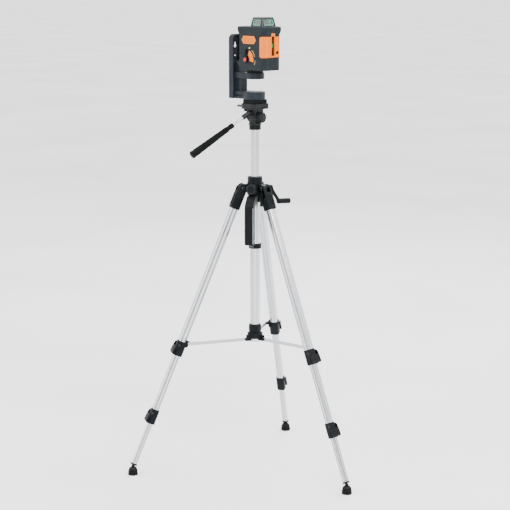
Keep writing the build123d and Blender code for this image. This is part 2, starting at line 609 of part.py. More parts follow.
crank_foot = crank_height - crank_drop
knob_start = crank_reach + crank_spread
with BuildPart() as crank:
    crank_hub = facing(crank_azimuth, boss_reach + face_gap, crank_height)
    rod(crank_hub, crank_reach - boss_reach, crank_hub_radius)
    with BuildSketch(radial(crank_azimuth)):
        with BuildLine():
            Polyline(
                (crank_reach, crank_height + 5),
                (crank_reach + crank_thickness, crank_height + 5),
                (crank_reach + crank_thickness + 3, crank_height - 6),
                (knob_start, crank_foot + 9),
                (knob_start + 3, crank_foot + 3),
                (knob_start + 3, crank_foot - 6),
                (knob_start - 3, crank_foot - 6),
                (knob_start - 6, crank_foot + 5),
                (crank_reach + 1, crank_height - 9),
                close=True,
            )
        make_face()
    extrude(amount=crank_width / 2, both=True)
    rod(facing(crank_azimuth, knob_start, crank_foot), crank_knob_length + 3, crank_knob_radius)
    knob_end = crank.edges().filter_by(GeomType.CIRCLE).sort_by(Axis((0, 0, 0), spoke(1, crank_azimuth)))[-1]
    fillet(knob_end, crank_knob_edge)
    rod(gear_view, crank_socket, crank_shaft_radius + seat_gap, Mode.SUBTRACT)
keep(crank.part, "crank")

with BuildPart() as column_lock_knob:
    lock_face = facing(lock_azimuth, boss_reach + face_gap, crank_height)
    rod(lock_face, lock_knob_length, lock_knob_radius)
    with Locations(lock_face.offset(lock_knob_length / 2)):
        with PolarLocations(lock_knob_radius + lock_lobe_out, lock_lobes):
            Cylinder(lock_lobe_radius, 2 * lock_knob_length, mode=Mode.SUBTRACT)
    lock_screw_tip = facing(lock_azimuth, column_radius + face_gap, crank_height)
    rod(lock_screw_tip, boss_reach - column_radius, lock_screw_radius)
keep(column_lock_knob.part, "column_lock_knob")

# ================================================================ PAN HEAD
with BuildPart() as head_base:
    rod(Plane.XY.offset(collar_bottom), collar_height, collar_radius)
    rod(Plane.XY.offset(collar_bottom - collar_seat), collar_seat, column_bore - seat_gap)
    rod(Plane.XY.offset(collar_bottom), collar_overlap + seat_gap, column_radius + seat_gap, Mode.SUBTRACT)
    rod(Plane.XY.offset(collar_bottom), collar_overlap + root, column_bore - seat_gap)
    rod(Plane.XY.offset(collar_top), disc_height - root, spindle_radius)
keep(head_base.part, "head_base")

disc_bottom = collar_top + face_gap
with BuildPart() as pan_base:
    rod(Plane.XY.offset(disc_bottom), disc_height, disc_radius)
    with BuildSketch(Plane.YZ):
        with Locations((0, tilt_height)):
            Circle(lug_radius)
        with Locations((0, (tilt_height + disc_bottom) / 2)):
            Rectangle(2 * lug_neck, tilt_height - disc_bottom)
    extrude(amount=lug_half, both=True)
    bar(placed(Plane.YZ, 0, 0, tilt_height), 2 * cheek_outer, tilt_pin_radius)
    rod(Plane.XY.offset(disc_bottom - root), disc_height, spindle_radius + run_gap, Mode.SUBTRACT)
keep(pan_base.part, "pan_base")

handle_azimuth = 270 + handle_side
handle_way = Vector(*spoke(cos(radians(handle_droop)), handle_azimuth, -sin(radians(handle_droop))))
handle_height = tilt_height + handle_rise
handle_axis = Plane(origin=(0, -handle_back, handle_height), z_dir=handle_way)
with BuildPart() as tilt_body:
    with BuildSketch(Plane.YZ):
        with Locations((0, tilt_height)):
            Circle(cheek_radius)
        with Locations((0, tilt_height + tilt_top_rise / 2)):
            Rectangle(2 * cheek_radius, tilt_top_rise)
    extrude(amount=cheek_outer, both=True)
    rod(handle_axis, socket_length, socket_radius)
    socket_low, socket_high = handle_height - socket_web, handle_height + socket_web
    block(-socket_radius, socket_radius, -handle_back, 0, socket_low, socket_high)
    rod(handle_axis.offset(socket_length - rod_seat), rod_seat + past, rod_radius + run_gap, Mode.SUBTRACT)
    with BuildSketch(Plane.YZ):
        with Locations((0, tilt_height)):
            Circle(lug_radius + face_gap)
        with Locations((0, tilt_height - lug_radius)):
            Rectangle(2 * lug_radius + 2 * face_gap, 2 * lug_radius)
        with Locations((cheek_radius, tilt_height)):
            Rectangle(2 * cheek_radius, 2 * (lug_neck + face_gap))
    extrude(amount=lug_half + face_gap, both=True, mode=Mode.SUBTRACT)
    bar(placed(Plane.YZ, 0, 0, tilt_height), 4 * cheek_outer, tilt_pin_radius + run_gap, Mode.SUBTRACT)
    knuckle_low = flip_height - knuckle_radius
    block(flip_x, root - cheek_outer, -knuckle_half, knuckle_half, knuckle_low, flip_height + root)
    bar(placed(Plane.XZ, flip_x, 0, flip_height), 2 * knuckle_half, knuckle_radius)
    bar(placed(Plane.XZ, flip_x, 0, flip_height), 4 * knuckle_half, flip_pin_radius)
keep(tilt_body.part, "tilt_body")

with BuildPart() as tilt_knob:
    knob_face = placed(Plane.YZ, cheek_outer + face_gap, 0, tilt_height)
    rod(knob_face, tilt_knob_length, tilt_knob_radius)
    with Locations(knob_face.offset(tilt_knob_length / 2)):
        with PolarLocations(tilt_knob_radius + tilt_lobe_out, tilt_lobes):
            Cylinder(tilt_lobe_radius, 2 * tilt_knob_length, mode=Mode.SUBTRACT)
    chamfer(tilt_knob.faces().sort_by(Axis.X)[-1].outer_wire().edges(), tilt_knob_edge)
keep(tilt_knob.part, "tilt_knob")

with BuildPart() as handle_rod:
    rod_length = rod_seat - root / 2 + rod_reach - socket_length + grip_seat
    rod(handle_axis.offset(socket_length - rod_seat + root / 2), rod_length, rod_radius)
keep(handle_rod.part, "handle_rod")

with BuildPart() as handle_grip:
    with BuildSketch(handle_axis.offset(rod_reach)):
        Circle(grip_top_radius)
    with BuildSketch(handle_axis.offset(rod_reach + grip_length)):
        Circle(grip_end_radius)
    loft()
    fillet(handle_grip.edges().filter_by(GeomType.CIRCLE), grip_edge)
    grip_bore = grip_seat + past + root / 2
    rod(handle_axis.offset(rod_reach - past), grip_bore, rod_radius + seat_gap, Mode.SUBTRACT)
keep(handle_grip.part, "handle_grip")

release_z = platform_bottom + (platform_height - release_thickness) / 2
with BuildPart() as platform:
    with BuildSketch(Plane.XY.offset(platform_bottom)):
        RectangleRounded(platform_size, platform_size, platform_corner)
    extrude(amount=platform_height)
    for side in (-1, 1):
        knuckle = placed(Plane.XZ, flip_x, side * (1.5 * knuckle_half + face_gap), flip_height)
        bar(knuckle, knuckle_half, knuckle_radius)
        near, far = sorted((side * (knuckle_half + face_gap), side * 2 * knuckle_half))
        knuckle_back, knuckle_front = flip_x - knuckle_radius, flip_x + knuckle_radius
        block(knuckle_back, knuckle_front, near, far, flip_height, platform_bottom + root)
    bar(placed(Plane.XZ, flip_x, 0, flip_height), 6 * knuckle_half, flip_pin_radius + run_gap, Mode.SUBTRACT)
    for groove in range(platform_grooves):
        groove_bottom = platform_bottom + groove_pitch * (groove + 1) - groove_width / 2
        with BuildSketch(Plane.XY.offset(groove_bottom)):
            RectangleRounded(platform_size + 2, platform_size + 2, platform_corner + 1)
            inner_size = platform_size - 2 * groove_depth
            RectangleRounded(inner_size, inner_size, platform_corner - groove_depth, mode=Mode.SUBTRACT)
        extrude(amount=groove_width, mode=Mode.SUBTRACT)
    notch_low, notch_high = release_z - face_gap, release_z + release_thickness + face_gap
    notch_reach = release_radius + notch_room
    block(-platform_size, release_x + notch_reach, -platform_size, release_y + notch_reach,
          notch_low, notch_high, Mode.SUBTRACT)
    with Locations((release_x, release_y, (notch_low + notch_high) / 2)):
        Cylinder(release_pin, notch_high - notch_low)
keep(platform.part, "platform")

with BuildPart() as release_lever:
    with BuildSketch(Plane.XY.offset(release_z)):
        with Locations((release_x, release_y)):
            Circle(release_radius)
        with Locations((release_x - release_reach / 2, release_y - root / 2)):
            Rectangle(release_reach, release_width)
        with Locations((release_x, release_y)):
            Circle(release_pin + run_gap, mode=Mode.SUBTRACT)
    extrude(amount=release_thickness)
    fillet(release_lever.edges().filter_by(Axis.Z).group_by(Axis.X)[0], 2.5)
keep(release_lever.part, "release_lever")

with BuildPart() as camera_plate:
    with BuildSketch(Plane.XY.offset(plate_bottom)):
        RectangleRounded(plate_x, plate_y, plate_corner)
    extrude(amount=plate_height)
    chamfer(camera_plate.faces().sort_by(Axis.Z)[-1].edges(), plate_edge)
    rod(Plane.XY.offset(plate_top), screw_reach, screw_radius)
keep(camera_plate.part, "camera_plate")

# ================================================================ WALL BRACKET
tray_back = plate_front - tray_depth
bracket_half = bracket_width / 2
with BuildPart() as bracket:
    with BuildSketch(Plane.YZ.offset(tray_back)):
        with Locations((0, plate_top + bracket_height / 2)):
            RectangleRounded(bracket_width, bracket_height, bracket_corner)
        with Locations((0, plate_top + bracket_corner / 2)):
            Rectangle(bracket_width, bracket_corner)
    extrude(amount=tray_depth)
    with BuildSketch(Plane.YZ.offset(tray_back + tray_wall)):
        with Locations((0, plate_top + (tray_floor + bracket_height - tray_wall) / 2)):
            RectangleRounded(bracket_width - 2 * tray_wall, bracket_height - tray_wall - tray_floor,
                             bracket_corner - tray_wall)
    extrude(amount=tray_depth, mode=Mode.SUBTRACT)
    chamfer(bracket.faces().sort_by(Axis.X)[0].outer_wire().edges(), bracket_edge)
    with BuildSketch(Plane.XY.offset(plate_top)):
        Circle(foot_round)
        with BuildLine():
            Polyline(
                (plate_front - root, foot_neck),
                (plate_front - root, -foot_neck),
                (plate_front + 22, -foot_neck),
                (-8, -foot_round + 1.5),
                (-8, foot_round - 1.5),
                (plate_front + 22, foot_neck),
                close=True,
            )
        make_face()
    extrude(amount=foot_slab)
    with BuildSketch(Plane.XY.offset(plate_top + arm_bottom)):
        Circle(arm_round)
        with BuildLine():
            Polyline(
                (plate_front - root, arm_half),
                (plate_front - root, -arm_half),
                (-16, -arm_half),
                (-16, arm_half),
                close=True,
            )
        make_face()
    extrude(amount=arm_thickness)
    with BuildSketch(Plane.XZ):
        with BuildLine():
            Polyline(
                (plate_front - root, plate_top + foot_slab - root),
                (plate_front - root, plate_top + arm_top + gusset_rise),
                (plate_front + gusset_length, plate_top + arm_top),
                (plate_front + gusset_length, plate_top + arm_bottom + root),
                (plate_front + web_length, plate_top + arm_bottom + root),
                (plate_front + web_length, plate_top + foot_slab - root),
                close=True,
            )
        make_face()
    extrude(amount=web_half, both=True)
    for side in (-1, 1):
        slot_near, slot_far = sorted((side * (foot_neck - 3), side * (foot_neck + past)))
        block(plate_front + slot_start, plate_front + 26, slot_near, slot_far,
              plate_top + slot_low, plate_top + slot_high, Mode.SUBTRACT)
    thread_radius = screw_radius + run_gap
    rod(Plane.XY.offset(plate_top - root), screw_reach + 3 * root, thread_radius, Mode.SUBTRACT)
    wheel_bore = wheel_screw_radius + run_gap
    thread_bottom = plate_top + arm_top - wheel_screw_down - root
    rod(Plane.XY.offset(thread_bottom), wheel_screw_down + root + past, wheel_bore, Mode.SUBTRACT)
    keyhole_z = plate_top + keyhole_height
    hole_start, hole_length = tray_back - root, tray_wall + past
    rod(placed(Plane.YZ, hole_start, 0, keyhole_z), hole_length, keyhole_radius, Mode.SUBTRACT)
    block(hole_start, hole_start + hole_length, -keyslot_radius, keyslot_radius, keyhole_z,
          keyhole_z + keyslot_rise, Mode.SUBTRACT)
    wall_hole = placed(Plane.YZ, hole_start, 0, plate_top + wall_hole_height)
    rod(wall_hole, hole_length, wall_hole_radius, Mode.SUBTRACT)
keep(bracket.part, "bracket")

with BuildPart() as clamp_wheel:
    rod(Plane.XY.offset(wheel_bottom), wheel_height, wheel_radius)
    with Locations((0, 0, wheel_bottom + wheel_height / 2)):
        with PolarLocations(wheel_radius + wheel_tooth_out, wheel_teeth):
            Cylinder(wheel_tooth_radius, 2 * wheel_height, mode=Mode.SUBTRACT)
    screw_length = wheel_screw_down + wheel_height + wheel_screw_up
    rod(Plane.XY.offset(wheel_bottom - wheel_screw_down), screw_length, wheel_screw_radius)
keep(clamp_wheel.part, "clamp_wheel")

# ================================================================ LASER
def body_outline(grow):
    """The housing's plan, grown outwards all round."""
    back, front, half = body_back - grow, body_front + grow, side_face + grow
    cut = front_chamfer
    with BuildSketch() as plan:
        with BuildLine():
            Polyline(
                (back, -half + rear_chamfer),
                (back + rear_chamfer, -half),
                (front - cut, -half),
                (front, -half + cut),
                (front, half - cut),
                (front - cut, half),
                (back + rear_chamfer, half),
                (back, half - rear_chamfer),
                close=True,
            )
        make_face()
    return plan.sketch


def raised(sketch, height):
    """A plan moved up to a height of the laser."""
    return Pos(0, 0, laser_base + height) * sketch


cage_middle = (cage_back + cage_front) / 2
optic_x = cage_middle
pivot_height = body_height - optic_pivot_drop
with BuildPart() as housing:
    extrude(raised(body_outline(0), 0), amount=body_height)
    with BuildSketch(Plane.XY.offset(laser_base + flare_start)):
        add(body_outline(0))
    with BuildSketch(Plane.XY.offset(laser_base + flare_end)):
        add(body_outline(flare))
    loft()
    extrude(raised(body_outline(flare), flare_end), amount=body_height - flare_end)
    chamfer(housing.faces().sort_by(Axis.Z)[-1].edges(), deck_edge)
    heel = housing.edges().filter_by(Axis.Y).group_by(Axis.Z)[0].sort_by(Axis.X)[0]
    chamfer(heel, heel_cut)
    cavity = raised(body_outline(-body_wall), body_floor)
    extrude(cavity, amount=body_height - body_floor - deck_wall, mode=Mode.SUBTRACT)
    block(body_back, body_back + heel_cut + body_wall, root - side_face, side_face - root,
          laser_base + heel_cut, laser_base + body_floor + heel_cut)
    # the panel's seat, and the slit behind it
    rear_clear = 2 * body_width
    with BuildSketch(Plane.XY.offset(laser_base + panel_low)):
        add(body_outline(past))
        add(body_outline(-panel_depth), mode=Mode.SUBTRACT)
        with Locations((panel_back - rear_clear / 2, 0)):
            Rectangle(rear_clear, rear_clear, mode=Mode.SUBTRACT)
    extrude(amount=panel_high - panel_low, mode=Mode.SUBTRACT)
    slit_side, slit_back = slit_half + slit_wall, body_front - slit_depth
    block(slit_back - slit_wall, body_front - panel_depth, -slit_side, slit_side,
          laser_base + slit_low - slit_wall, laser_base + panel_high + slit_wall)
    block(slit_back, body_front + past, -slit_half, slit_half, laser_base + slit_low,
          laser_base + slit_high, Mode.SUBTRACT)
    block(body_front - panel_depth, body_front + past, -slit_half, slit_half, laser_base + panel_high - root,
          laser_base + panel_tab, Mode.SUBTRACT)
    # the deck's hole for the optics, and the pin that they hang from
    rod(placed(Plane.XY, optic_x, 0, laser_base + body_height - deck_wall - root), 2 * deck_wall, optic_hole,
        Mode.SUBTRACT)
    lug_inner, lug_outer = optic_hole - optic_lug_lap, optic_hole + optic_lug_tuck
    for side in (-1, 1):
        lug_near, lug_far = sorted((side * lug_inner, side * lug_outer))
        block(optic_x - optic_lug_half, optic_x + optic_lug_half, lug_near, lug_far,
              laser_base + pivot_height - optic_lug_half, laser_base + body_height - deck_wall + root)
    bar(placed(Plane.XZ, optic_x, 0, laser_base + pivot_height), 2 * optic_hole, optic_pin_radius)
    # the switch's dish and its bore, the button's bore, the door's opening and the tripod thread
    side_plane = placed(Plane.XZ, switch_x, -side_face, laser_base + switch_height)
    with BuildSketch(side_plane.offset(-dish_depth)):
        with BuildLine():
            tip = (dish_radius * sin(radians(20)), dish_radius * cos(radians(20)))
            low = (dish_radius * cos(radians(18)), -dish_radius * sin(radians(18)))
            RadiusArc(tip, low, dish_radius)
            Line(low, (0, -switch_head - 1.5))
            Line((0, -switch_head - 1.5), (-switch_head - 1, 0))
            Line((-switch_head - 1, 0), (-3, dish_radius - 1))
            Line((-3, dish_radius - 1), tip)
        make_face()
    extrude(amount=dish_depth + past, mode=Mode.SUBTRACT)
    bar(side_plane, 2 * body_wall + past, switch_post + run_gap, Mode.SUBTRACT)
    button_plane = placed(Plane.YZ, body_front - button_back, button_y, laser_base + button_height)
    rod(button_plane, button_back + past, button_stem + run_gap, Mode.SUBTRACT)
    door_seat = side_face - door_thickness - 2 * run_gap
    block(door_back - face_gap, door_front + face_gap, door_seat, side_face + past,
          laser_base + door_low - face_gap, laser_base + door_high + face_gap, Mode.SUBTRACT)
    rod(Plane.XY.offset(laser_base - root), wheel_screw_up + 2 * root, wheel_bore, Mode.SUBTRACT)
keep(housing.part, "housing")

with BuildPart() as front_panel:
    panel_inner = -panel_depth + seat_gap
    with BuildSketch(Plane.XY.offset(laser_base + panel_low + seat_gap)):
        add(body_outline(panel_proud))
        add(body_outline(panel_inner), mode=Mode.SUBTRACT)
        with Locations((panel_back + seat_gap - rear_clear / 2, 0)):
            Rectangle(rear_clear, rear_clear, mode=Mode.SUBTRACT)
    extrude(amount=panel_high - panel_low - 2 * seat_gap)
    tab_half, trim_half = slit_half - seat_gap, slit_half - slit_trim
    block(body_front + panel_inner, body_front + panel_proud, -tab_half, tab_half,
          laser_base + panel_high - root, laser_base + panel_tab - seat_gap)
    block(slit_back, body_front + past, -trim_half, trim_half, laser_base + slit_low,
          laser_base + slit_high, Mode.SUBTRACT)
    rod(button_plane, button_back + past, button_radius + run_gap, Mode.SUBTRACT)
keep(front_panel.part, "front_panel")

with BuildPart() as front_window:
    block(slit_back, slit_back + window_thickness, -window_half, window_half,
          laser_base + slit_low + seat_gap, laser_base + slit_high - seat_gap)
keep(front_window.part, "front_window")

with BuildPart() as mode_button:
    cap_back = button_back - panel_depth + button_travel + button_gap
    rod(button_plane.offset(cap_back), panel_depth + panel_proud + button_travel, button_radius)
    rod(button_plane.offset(root), cap_back, button_stem)
keep(mode_button.part, "mode_button")

with BuildPart() as label_plate:
    with BuildSketch(placed(Plane.XZ, label_x, -side_face, laser_base + label_height)):
        with BuildLine():
            Polyline(
                (-label_long / 2, 0),
                (-label_long / 2 + label_tall / 3, label_tall / 2),
                (label_long / 2 - label_tall / 3, label_tall / 2),
                (label_long / 2, 0),
                (label_long / 2 - label_tall / 3, -label_tall / 2),
                (-label_long / 2 + label_tall / 3, -label_tall / 2),
                close=True,
            )
        make_face()
    extrude(amount=label_proud)
keep(label_plate.part, "label_plate")

with BuildPart() as switch_lever:
    lever_plane = side_plane.offset(face_gap)
    with BuildSketch(lever_plane):
        Circle(switch_head)
        with Locations((0, switch_long)):
            Circle(switch_tip)
        make_hull()
    extrude(amount=switch_proud)
    rod(lever_plane.offset(switch_proud), switch_cap, switch_head - switch_rim)
    rod(side_plane.offset(-switch_post_length), switch_post_length + root, switch_post)
keep(switch_lever.part, "switch_lever")

hinge_y, hinge_z = side_face - door_thickness / 2, laser_base + door_low + 1.4
with BuildPart() as battery_door:
    block(door_back, door_front, side_face - door_thickness, side_face, hinge_z, laser_base + door_high)
    for rib in range(door_ribs):
        rib_bottom = laser_base + door_high - door_rib_pitch * (rib + 2)
        block(door_back + door_rib_inset, door_front - door_rib_inset, side_face - root,
              side_face + door_rib_proud, rib_bottom, rib_bottom + door_rib_width)
    door_hinge = placed(Plane.YZ, (door_back + door_front) / 2, hinge_y, hinge_z)
    bar(door_hinge, door_front - door_back, door_thickness / 2)
keep(battery_door.part, "battery_door")

with BuildPart() as top_cage:
    with BuildSketch(Plane.XY.offset(laser_base + body_height)):
        with Locations((cage_middle, 0)):
            RectangleRounded(cage_front - cage_back, cage_width, cage_corner)
    with BuildSketch(Plane.XY.offset(laser_base + body_height + cage_height)):
        with Locations((cage_middle, 0)):
            roof_x = cage_front - cage_back - 2 * cage_taper
            RectangleRounded(roof_x, cage_width - 2 * cage_taper, cage_roof_corner)
    loft()
    chamfer(top_cage.faces().sort_by(Axis.Z)[-1].edges(), cage_edge)
    open_x, open_y = cage_front - cage_back - 2 * cage_post, cage_width - 2 * cage_post
    inner_x, inner_y = open_x + 2 * glass_seat, open_y + 2 * glass_seat
    hollow_top = cage_height - cage_roof
    with BuildSketch(Plane.XY.offset(laser_base + body_height)):
        with Locations((cage_middle, 0)):
            Rectangle(inner_x, inner_y)
    with BuildSketch(Plane.XY.offset(laser_base + body_height + hollow_top)):
        with Locations((cage_middle, 0)):
            Rectangle(inner_x - 2 * cage_taper, inner_y - 2 * cage_taper)
    loft(mode=Mode.SUBTRACT)
    window_rise = (cage_sill + hollow_top) / 2 + laser_base + body_height
    with BuildSketch(Plane.YZ.offset(cage_back - past)):
        with Locations((0, window_rise)):
            RectangleRounded(open_y - cage_window_trim, hollow_top - cage_sill, cage_window_corner)
    extrude(amount=cage_front - cage_back + 2 * past, mode=Mode.SUBTRACT)
    with BuildSketch(Plane.XZ.offset(-cage_width)):
        with Locations((cage_middle, window_rise)):
            RectangleRounded(open_x - cage_window_trim, hollow_top - cage_sill, cage_window_corner)
    extrude(amount=2 * cage_width, mode=Mode.SUBTRACT)
keep(top_cage.part, "top_cage")

glass_x, glass_y = inner_x - 2 * seat_gap, inner_y - 2 * seat_gap
with BuildPart() as cage_glass:
    with BuildSketch(Plane.XY.offset(laser_base + body_height)):
        with Locations((cage_middle, 0)):
            Rectangle(glass_x, glass_y)
    with BuildSketch(Plane.XY.offset(laser_base + body_height + hollow_top - seat_gap)):
        with Locations((cage_middle, 0)):
            Rectangle(glass_x - 2 * cage_taper, glass_y - 2 * cage_taper)
    loft()
    offset(amount=-glass_thickness, openings=[cage_glass.faces().sort_by(Axis.Z)[0]])
keep(cage_glass.part, "cage_glass")

with BuildPart() as optics:
    optic_foot = placed(Plane.XY, optic_x, 0, laser_base + pivot_height - optic_hang)
    rod(optic_foot, optic_hang + optic_rise, optic_radius)
    with Locations(optic_foot.offset(optic_hang + optic_rise)):
        Cone(optic_radius, optic_cone_tip, optic_cone, align=(Align.CENTER, Align.CENTER, Align.MIN))
    optic_pin = placed(Plane.XZ, optic_x, 0, laser_base + pivot_height)
    bar(optic_pin, 4 * optic_radius, optic_pin_radius + run_gap, Mode.SUBTRACT)
keep(optics.part, "optics")
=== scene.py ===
# Dresses a cross-line laser that stands on a pan-head tripod.
# Sizes in the dictionaries are millimetres and angles are degrees, unless a note says otherwise.
import json
from math import atan, cos, pi, radians, sin, tan

import bmesh
import bpy
import numpy as np
from mathutils import Matrix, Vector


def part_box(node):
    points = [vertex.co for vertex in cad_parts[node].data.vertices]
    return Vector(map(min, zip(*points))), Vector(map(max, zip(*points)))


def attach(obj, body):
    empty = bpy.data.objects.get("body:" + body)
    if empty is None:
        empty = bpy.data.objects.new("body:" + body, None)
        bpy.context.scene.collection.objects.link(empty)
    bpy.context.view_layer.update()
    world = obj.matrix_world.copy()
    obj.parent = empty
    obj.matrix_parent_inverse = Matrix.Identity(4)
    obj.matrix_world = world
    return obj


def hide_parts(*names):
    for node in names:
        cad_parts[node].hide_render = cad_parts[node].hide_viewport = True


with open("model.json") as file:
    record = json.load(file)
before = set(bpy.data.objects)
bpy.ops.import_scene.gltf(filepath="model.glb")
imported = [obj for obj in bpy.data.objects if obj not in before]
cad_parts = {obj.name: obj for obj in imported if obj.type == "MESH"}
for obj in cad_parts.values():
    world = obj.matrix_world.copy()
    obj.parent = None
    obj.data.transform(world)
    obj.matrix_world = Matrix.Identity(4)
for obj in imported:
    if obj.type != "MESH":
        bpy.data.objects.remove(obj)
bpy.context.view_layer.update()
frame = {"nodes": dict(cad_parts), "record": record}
print("frame loaded with", len(frame["nodes"]), "nodes")

mm = 0.001
nodes = frame["nodes"]
behaviour = frame["record"]["behaviour"]
bodyOf = {node: body for body, members in behaviour["bodies"].items() for node in members}
jointAt = {joint["name"]: np.array(joint["pos_m"]) / mm for joint in behaviour["joints"] if "pos_m" in joint}
legAzimuths = {"front": 0, "left": 120, "right": 240}  # round from the way the laser faces
xWay, yWay, zWay = np.eye(3)


# places: an origin and three axes, so a piece is drawn about its own middle and then set down

def unit(vectors):
    vectors = np.asarray(vectors, float)
    return vectors / np.linalg.norm(vectors, axis=-1, keepdims=True)


def placeAt(origin, xAxis, zAxis):
    # x is squared up to z, and y is z cross x
    z = unit(zAxis)
    x = unit(np.asarray(xAxis, float) - z * np.dot(xAxis, z))
    return np.array(origin, float), np.stack([x, np.cross(z, x), z])


def moved(place, x=0.0, z=0.0):
    origin, axes = place
    return origin + np.array([x, 0.0, z]) @ axes, axes


def toObject(points, place):
    origin, axes = place
    return origin + points @ axes


def toLocal(points, place):
    origin, axes = place
    return (points - origin) @ axes.T


def faceOn(place, at, x, z, side=1):
    # a place at a point of another one: its x and z run along two of that one's axes, z backwards for side -1
    return placeAt(toObject(np.array(at, float), place), place[1][x], side * place[1][z])


def spoke(radius, azimuth, height=0.0):
    return np.array([radius * cos(radians(azimuth)), radius * sin(radians(azimuth)), height])


def outwards(azimuth):
    return placeAt((0, 0, 0), spoke(1, azimuth), zWay)


def legPlace(leg):
    # a leg's own frame: x outwards, y round the tripod and z up the leg, from its hinge
    hinge, swivel = jointAt[leg + "_leg_fold"], jointAt[leg + "_foot_swivel"]
    return placeAt(hinge, spoke(1, legAzimuths[leg]), hinge - swivel)


def nodePoints(node):
    mesh = nodes[node].data
    flat = np.empty(len(mesh.vertices) * 3)
    mesh.vertices.foreach_get("co", flat)
    return flat.reshape(-1, 3) / mm


def boxIn(node, place):
    points = toLocal(nodePoints(node), place)
    return points.min(0), points.max(0)


world = placeAt((0, 0, 0), xWay, zWay)


# shapes: each is a pair of points and faces, closed and facing outwards

def volumeOf(points, quads):
    a, b, c, d = (points[quads[:, k]] for k in range(4))
    return (np.einsum("ij,ij->i", a, np.cross(b, c)) + np.einsum("ij,ij->i", a, np.cross(c, d))).sum()


def gridQuads(rows, columns, ring=False):
    # the corners of the quads that join each row of points to the next, where each row closes on itself
    down = np.arange(rows if ring else rows - 1)[:, None]
    across = np.arange(columns)[None, :]
    nextDown, nextAcross = (down + 1) % rows, (across + 1) % columns
    corners = [down * columns + across, down * columns + nextAcross,
               nextDown * columns + nextAcross, nextDown * columns + across]
    return np.stack(np.broadcast_arrays(*corners), -1).reshape(-1, 4)


def gridShape(grid, place=world, ring=False):
    # The end rows get one face each, unless the rows close into a ring.
    rows, columns = grid.shape[:2]
    quads = gridQuads(rows, columns, ring)
    points = toObject(grid.reshape(-1, 3), place)
    faces = quads.tolist()
    if not ring:
        faces += [list(range(columns))[::-1], list(range((rows - 1) * columns, rows * columns))]
    if volumeOf(points - points.mean(0), quads) < 0:
        faces = [face[::-1] for face in faces]
    return points, faces


def turnedGrid(radius, height, steps):
    # points round the axis at each row's radius, which may be one number or one for each step
    angle = np.arange(steps) * 2 * pi / steps
    across, along = np.broadcast_arrays(radius * np.ones(steps), height)
    return np.stack([across * np.cos(angle), across * np.sin(angle), along], -1)


def lathe(profile, place=world, steps=48, ribs=0, ribDepth=0.0, ribRows=0.0, ring=False):
    # A point at radius r and height z goes round the axis; on the ribbed rows r dips between the ribs
    # by the depth times one minus the absolute cosine of half the rib angle.
    profile = np.asarray(profile, float)
    angle = np.arange(steps) * 2 * pi / steps
    dip = ribDepth * (1 - np.abs(np.cos(angle * ribs / 2)))
    ribbed = np.broadcast_to(ribRows, len(profile))[:, None]
    return gridShape(turnedGrid(np.maximum(profile[:, :1] - dip * ribbed, 0), profile[:, 1:], steps), place, ring)


def drum(radius, low, high, edge=0.4, dome=0.0):
    # the profile of a disc with rounded edges and, where asked, a crowned top
    turn = np.linspace(0, pi / 2, 4)
    side = np.stack([radius - edge * (1 - np.cos(turn)), high - edge * (1 - np.sin(turn))], -1)
    inner = np.linspace(1, 0, 5)[1:]
    top = np.stack([(radius - edge) * inner, high + dome * (1 - inner ** 2)], -1)
    return np.concatenate([[[0, low], [radius - edge, low], [radius, low + edge]], side, top])


def ringBand(radius, height, band, place, steps):
    # a closed ring, whose profile is the band's points about one radius and height
    return lathe([(radius + out, height + up) for out, up in band], place, steps, ring=True)


headShares = {"rim": 0.88, "socket": 0.5, "side": 0.6, "floor": 0.4}  # of the head's radius or height


def screwHead(radius, height, place):
    # A turned head with a six-sided socket: the socket's radius is cos 30 over the cosine of the angle
    # from the middle of the nearest side.
    steps = 36
    angle = np.arange(steps) * 2 * pi / steps
    sixSided = cos(pi / 6) / np.cos(angle % (pi / 3) - pi / 6)
    rim, socket = radius * headShares["rim"], radius * headShares["socket"] * sixSided
    side, floor = height * headShares["side"], height * headShares["floor"]
    rows = np.stack(np.broadcast_arrays(radius, radius, rim, socket, socket, np.zeros(steps)))
    heights = np.array([[0, side, height, height, floor, floor]]).T
    return gridShape(turnedGrid(rows, heights, steps), place)


def roundedPolygon(corners, radius, steps=5):
    # Each corner is swapped for an arc that touches both of its sides.
    corners = np.asarray(corners, float)
    before, after = unit(np.roll(corners, 1, 0) - corners), unit(np.roll(corners, -1, 0) - corners)
    half = np.arccos(np.clip((before * after).sum(1), -1, 1))[:, None] / 2
    cut, reach = radius / np.tan(half), radius / np.sin(half)
    centre = corners + unit(before + after) * reach
    first, last = (np.arctan2(*(corners + way * cut - centre).T[::-1])[:, None] for way in (before, after))
    angle = first + ((last - first + pi) % (2 * pi) - pi) * np.linspace(0, 1, steps)
    arcs = centre[:, None] + radius * np.stack([np.cos(angle), np.sin(angle)], -1)
    return arcs.reshape(-1, 2)


def boxOutline(halfX, halfY, radius, steps=5, x=0.0, y=0.0):
    corners = np.array([(halfX, -halfY), (halfX, halfY), (-halfX, halfY), (-halfX, -halfY)])
    return roundedPolygon(corners + (x, y), radius, steps)


def arcBand(inner, outer, start, stop, steps=20):
    # the outline of a ring's part between two angles
    angle = np.radians(np.linspace(start, stop, steps))
    arc = np.stack([np.cos(angle), np.sin(angle)], -1)
    return np.concatenate([outer * arc, inner * arc[::-1]])


def drawnIn(outline, distance):
    # Each point moves along the outline's own normal, found from its two neighbours. The distance is one
    # number or one for each point.
    after, before = np.roll(outline, -1, 0), np.roll(outline, 1, 0)
    along = after - before
    area = (outline[:, 0] * after[:, 1] - outline[:, 1] * after[:, 0]).sum()
    normal = np.stack([along[:, 1], -along[:, 0]], -1) * np.sign(area)
    normal /= np.maximum(np.linalg.norm(normal, axis=1, keepdims=True), 1e-9)
    return outline - normal * np.reshape(distance, (-1, 1))


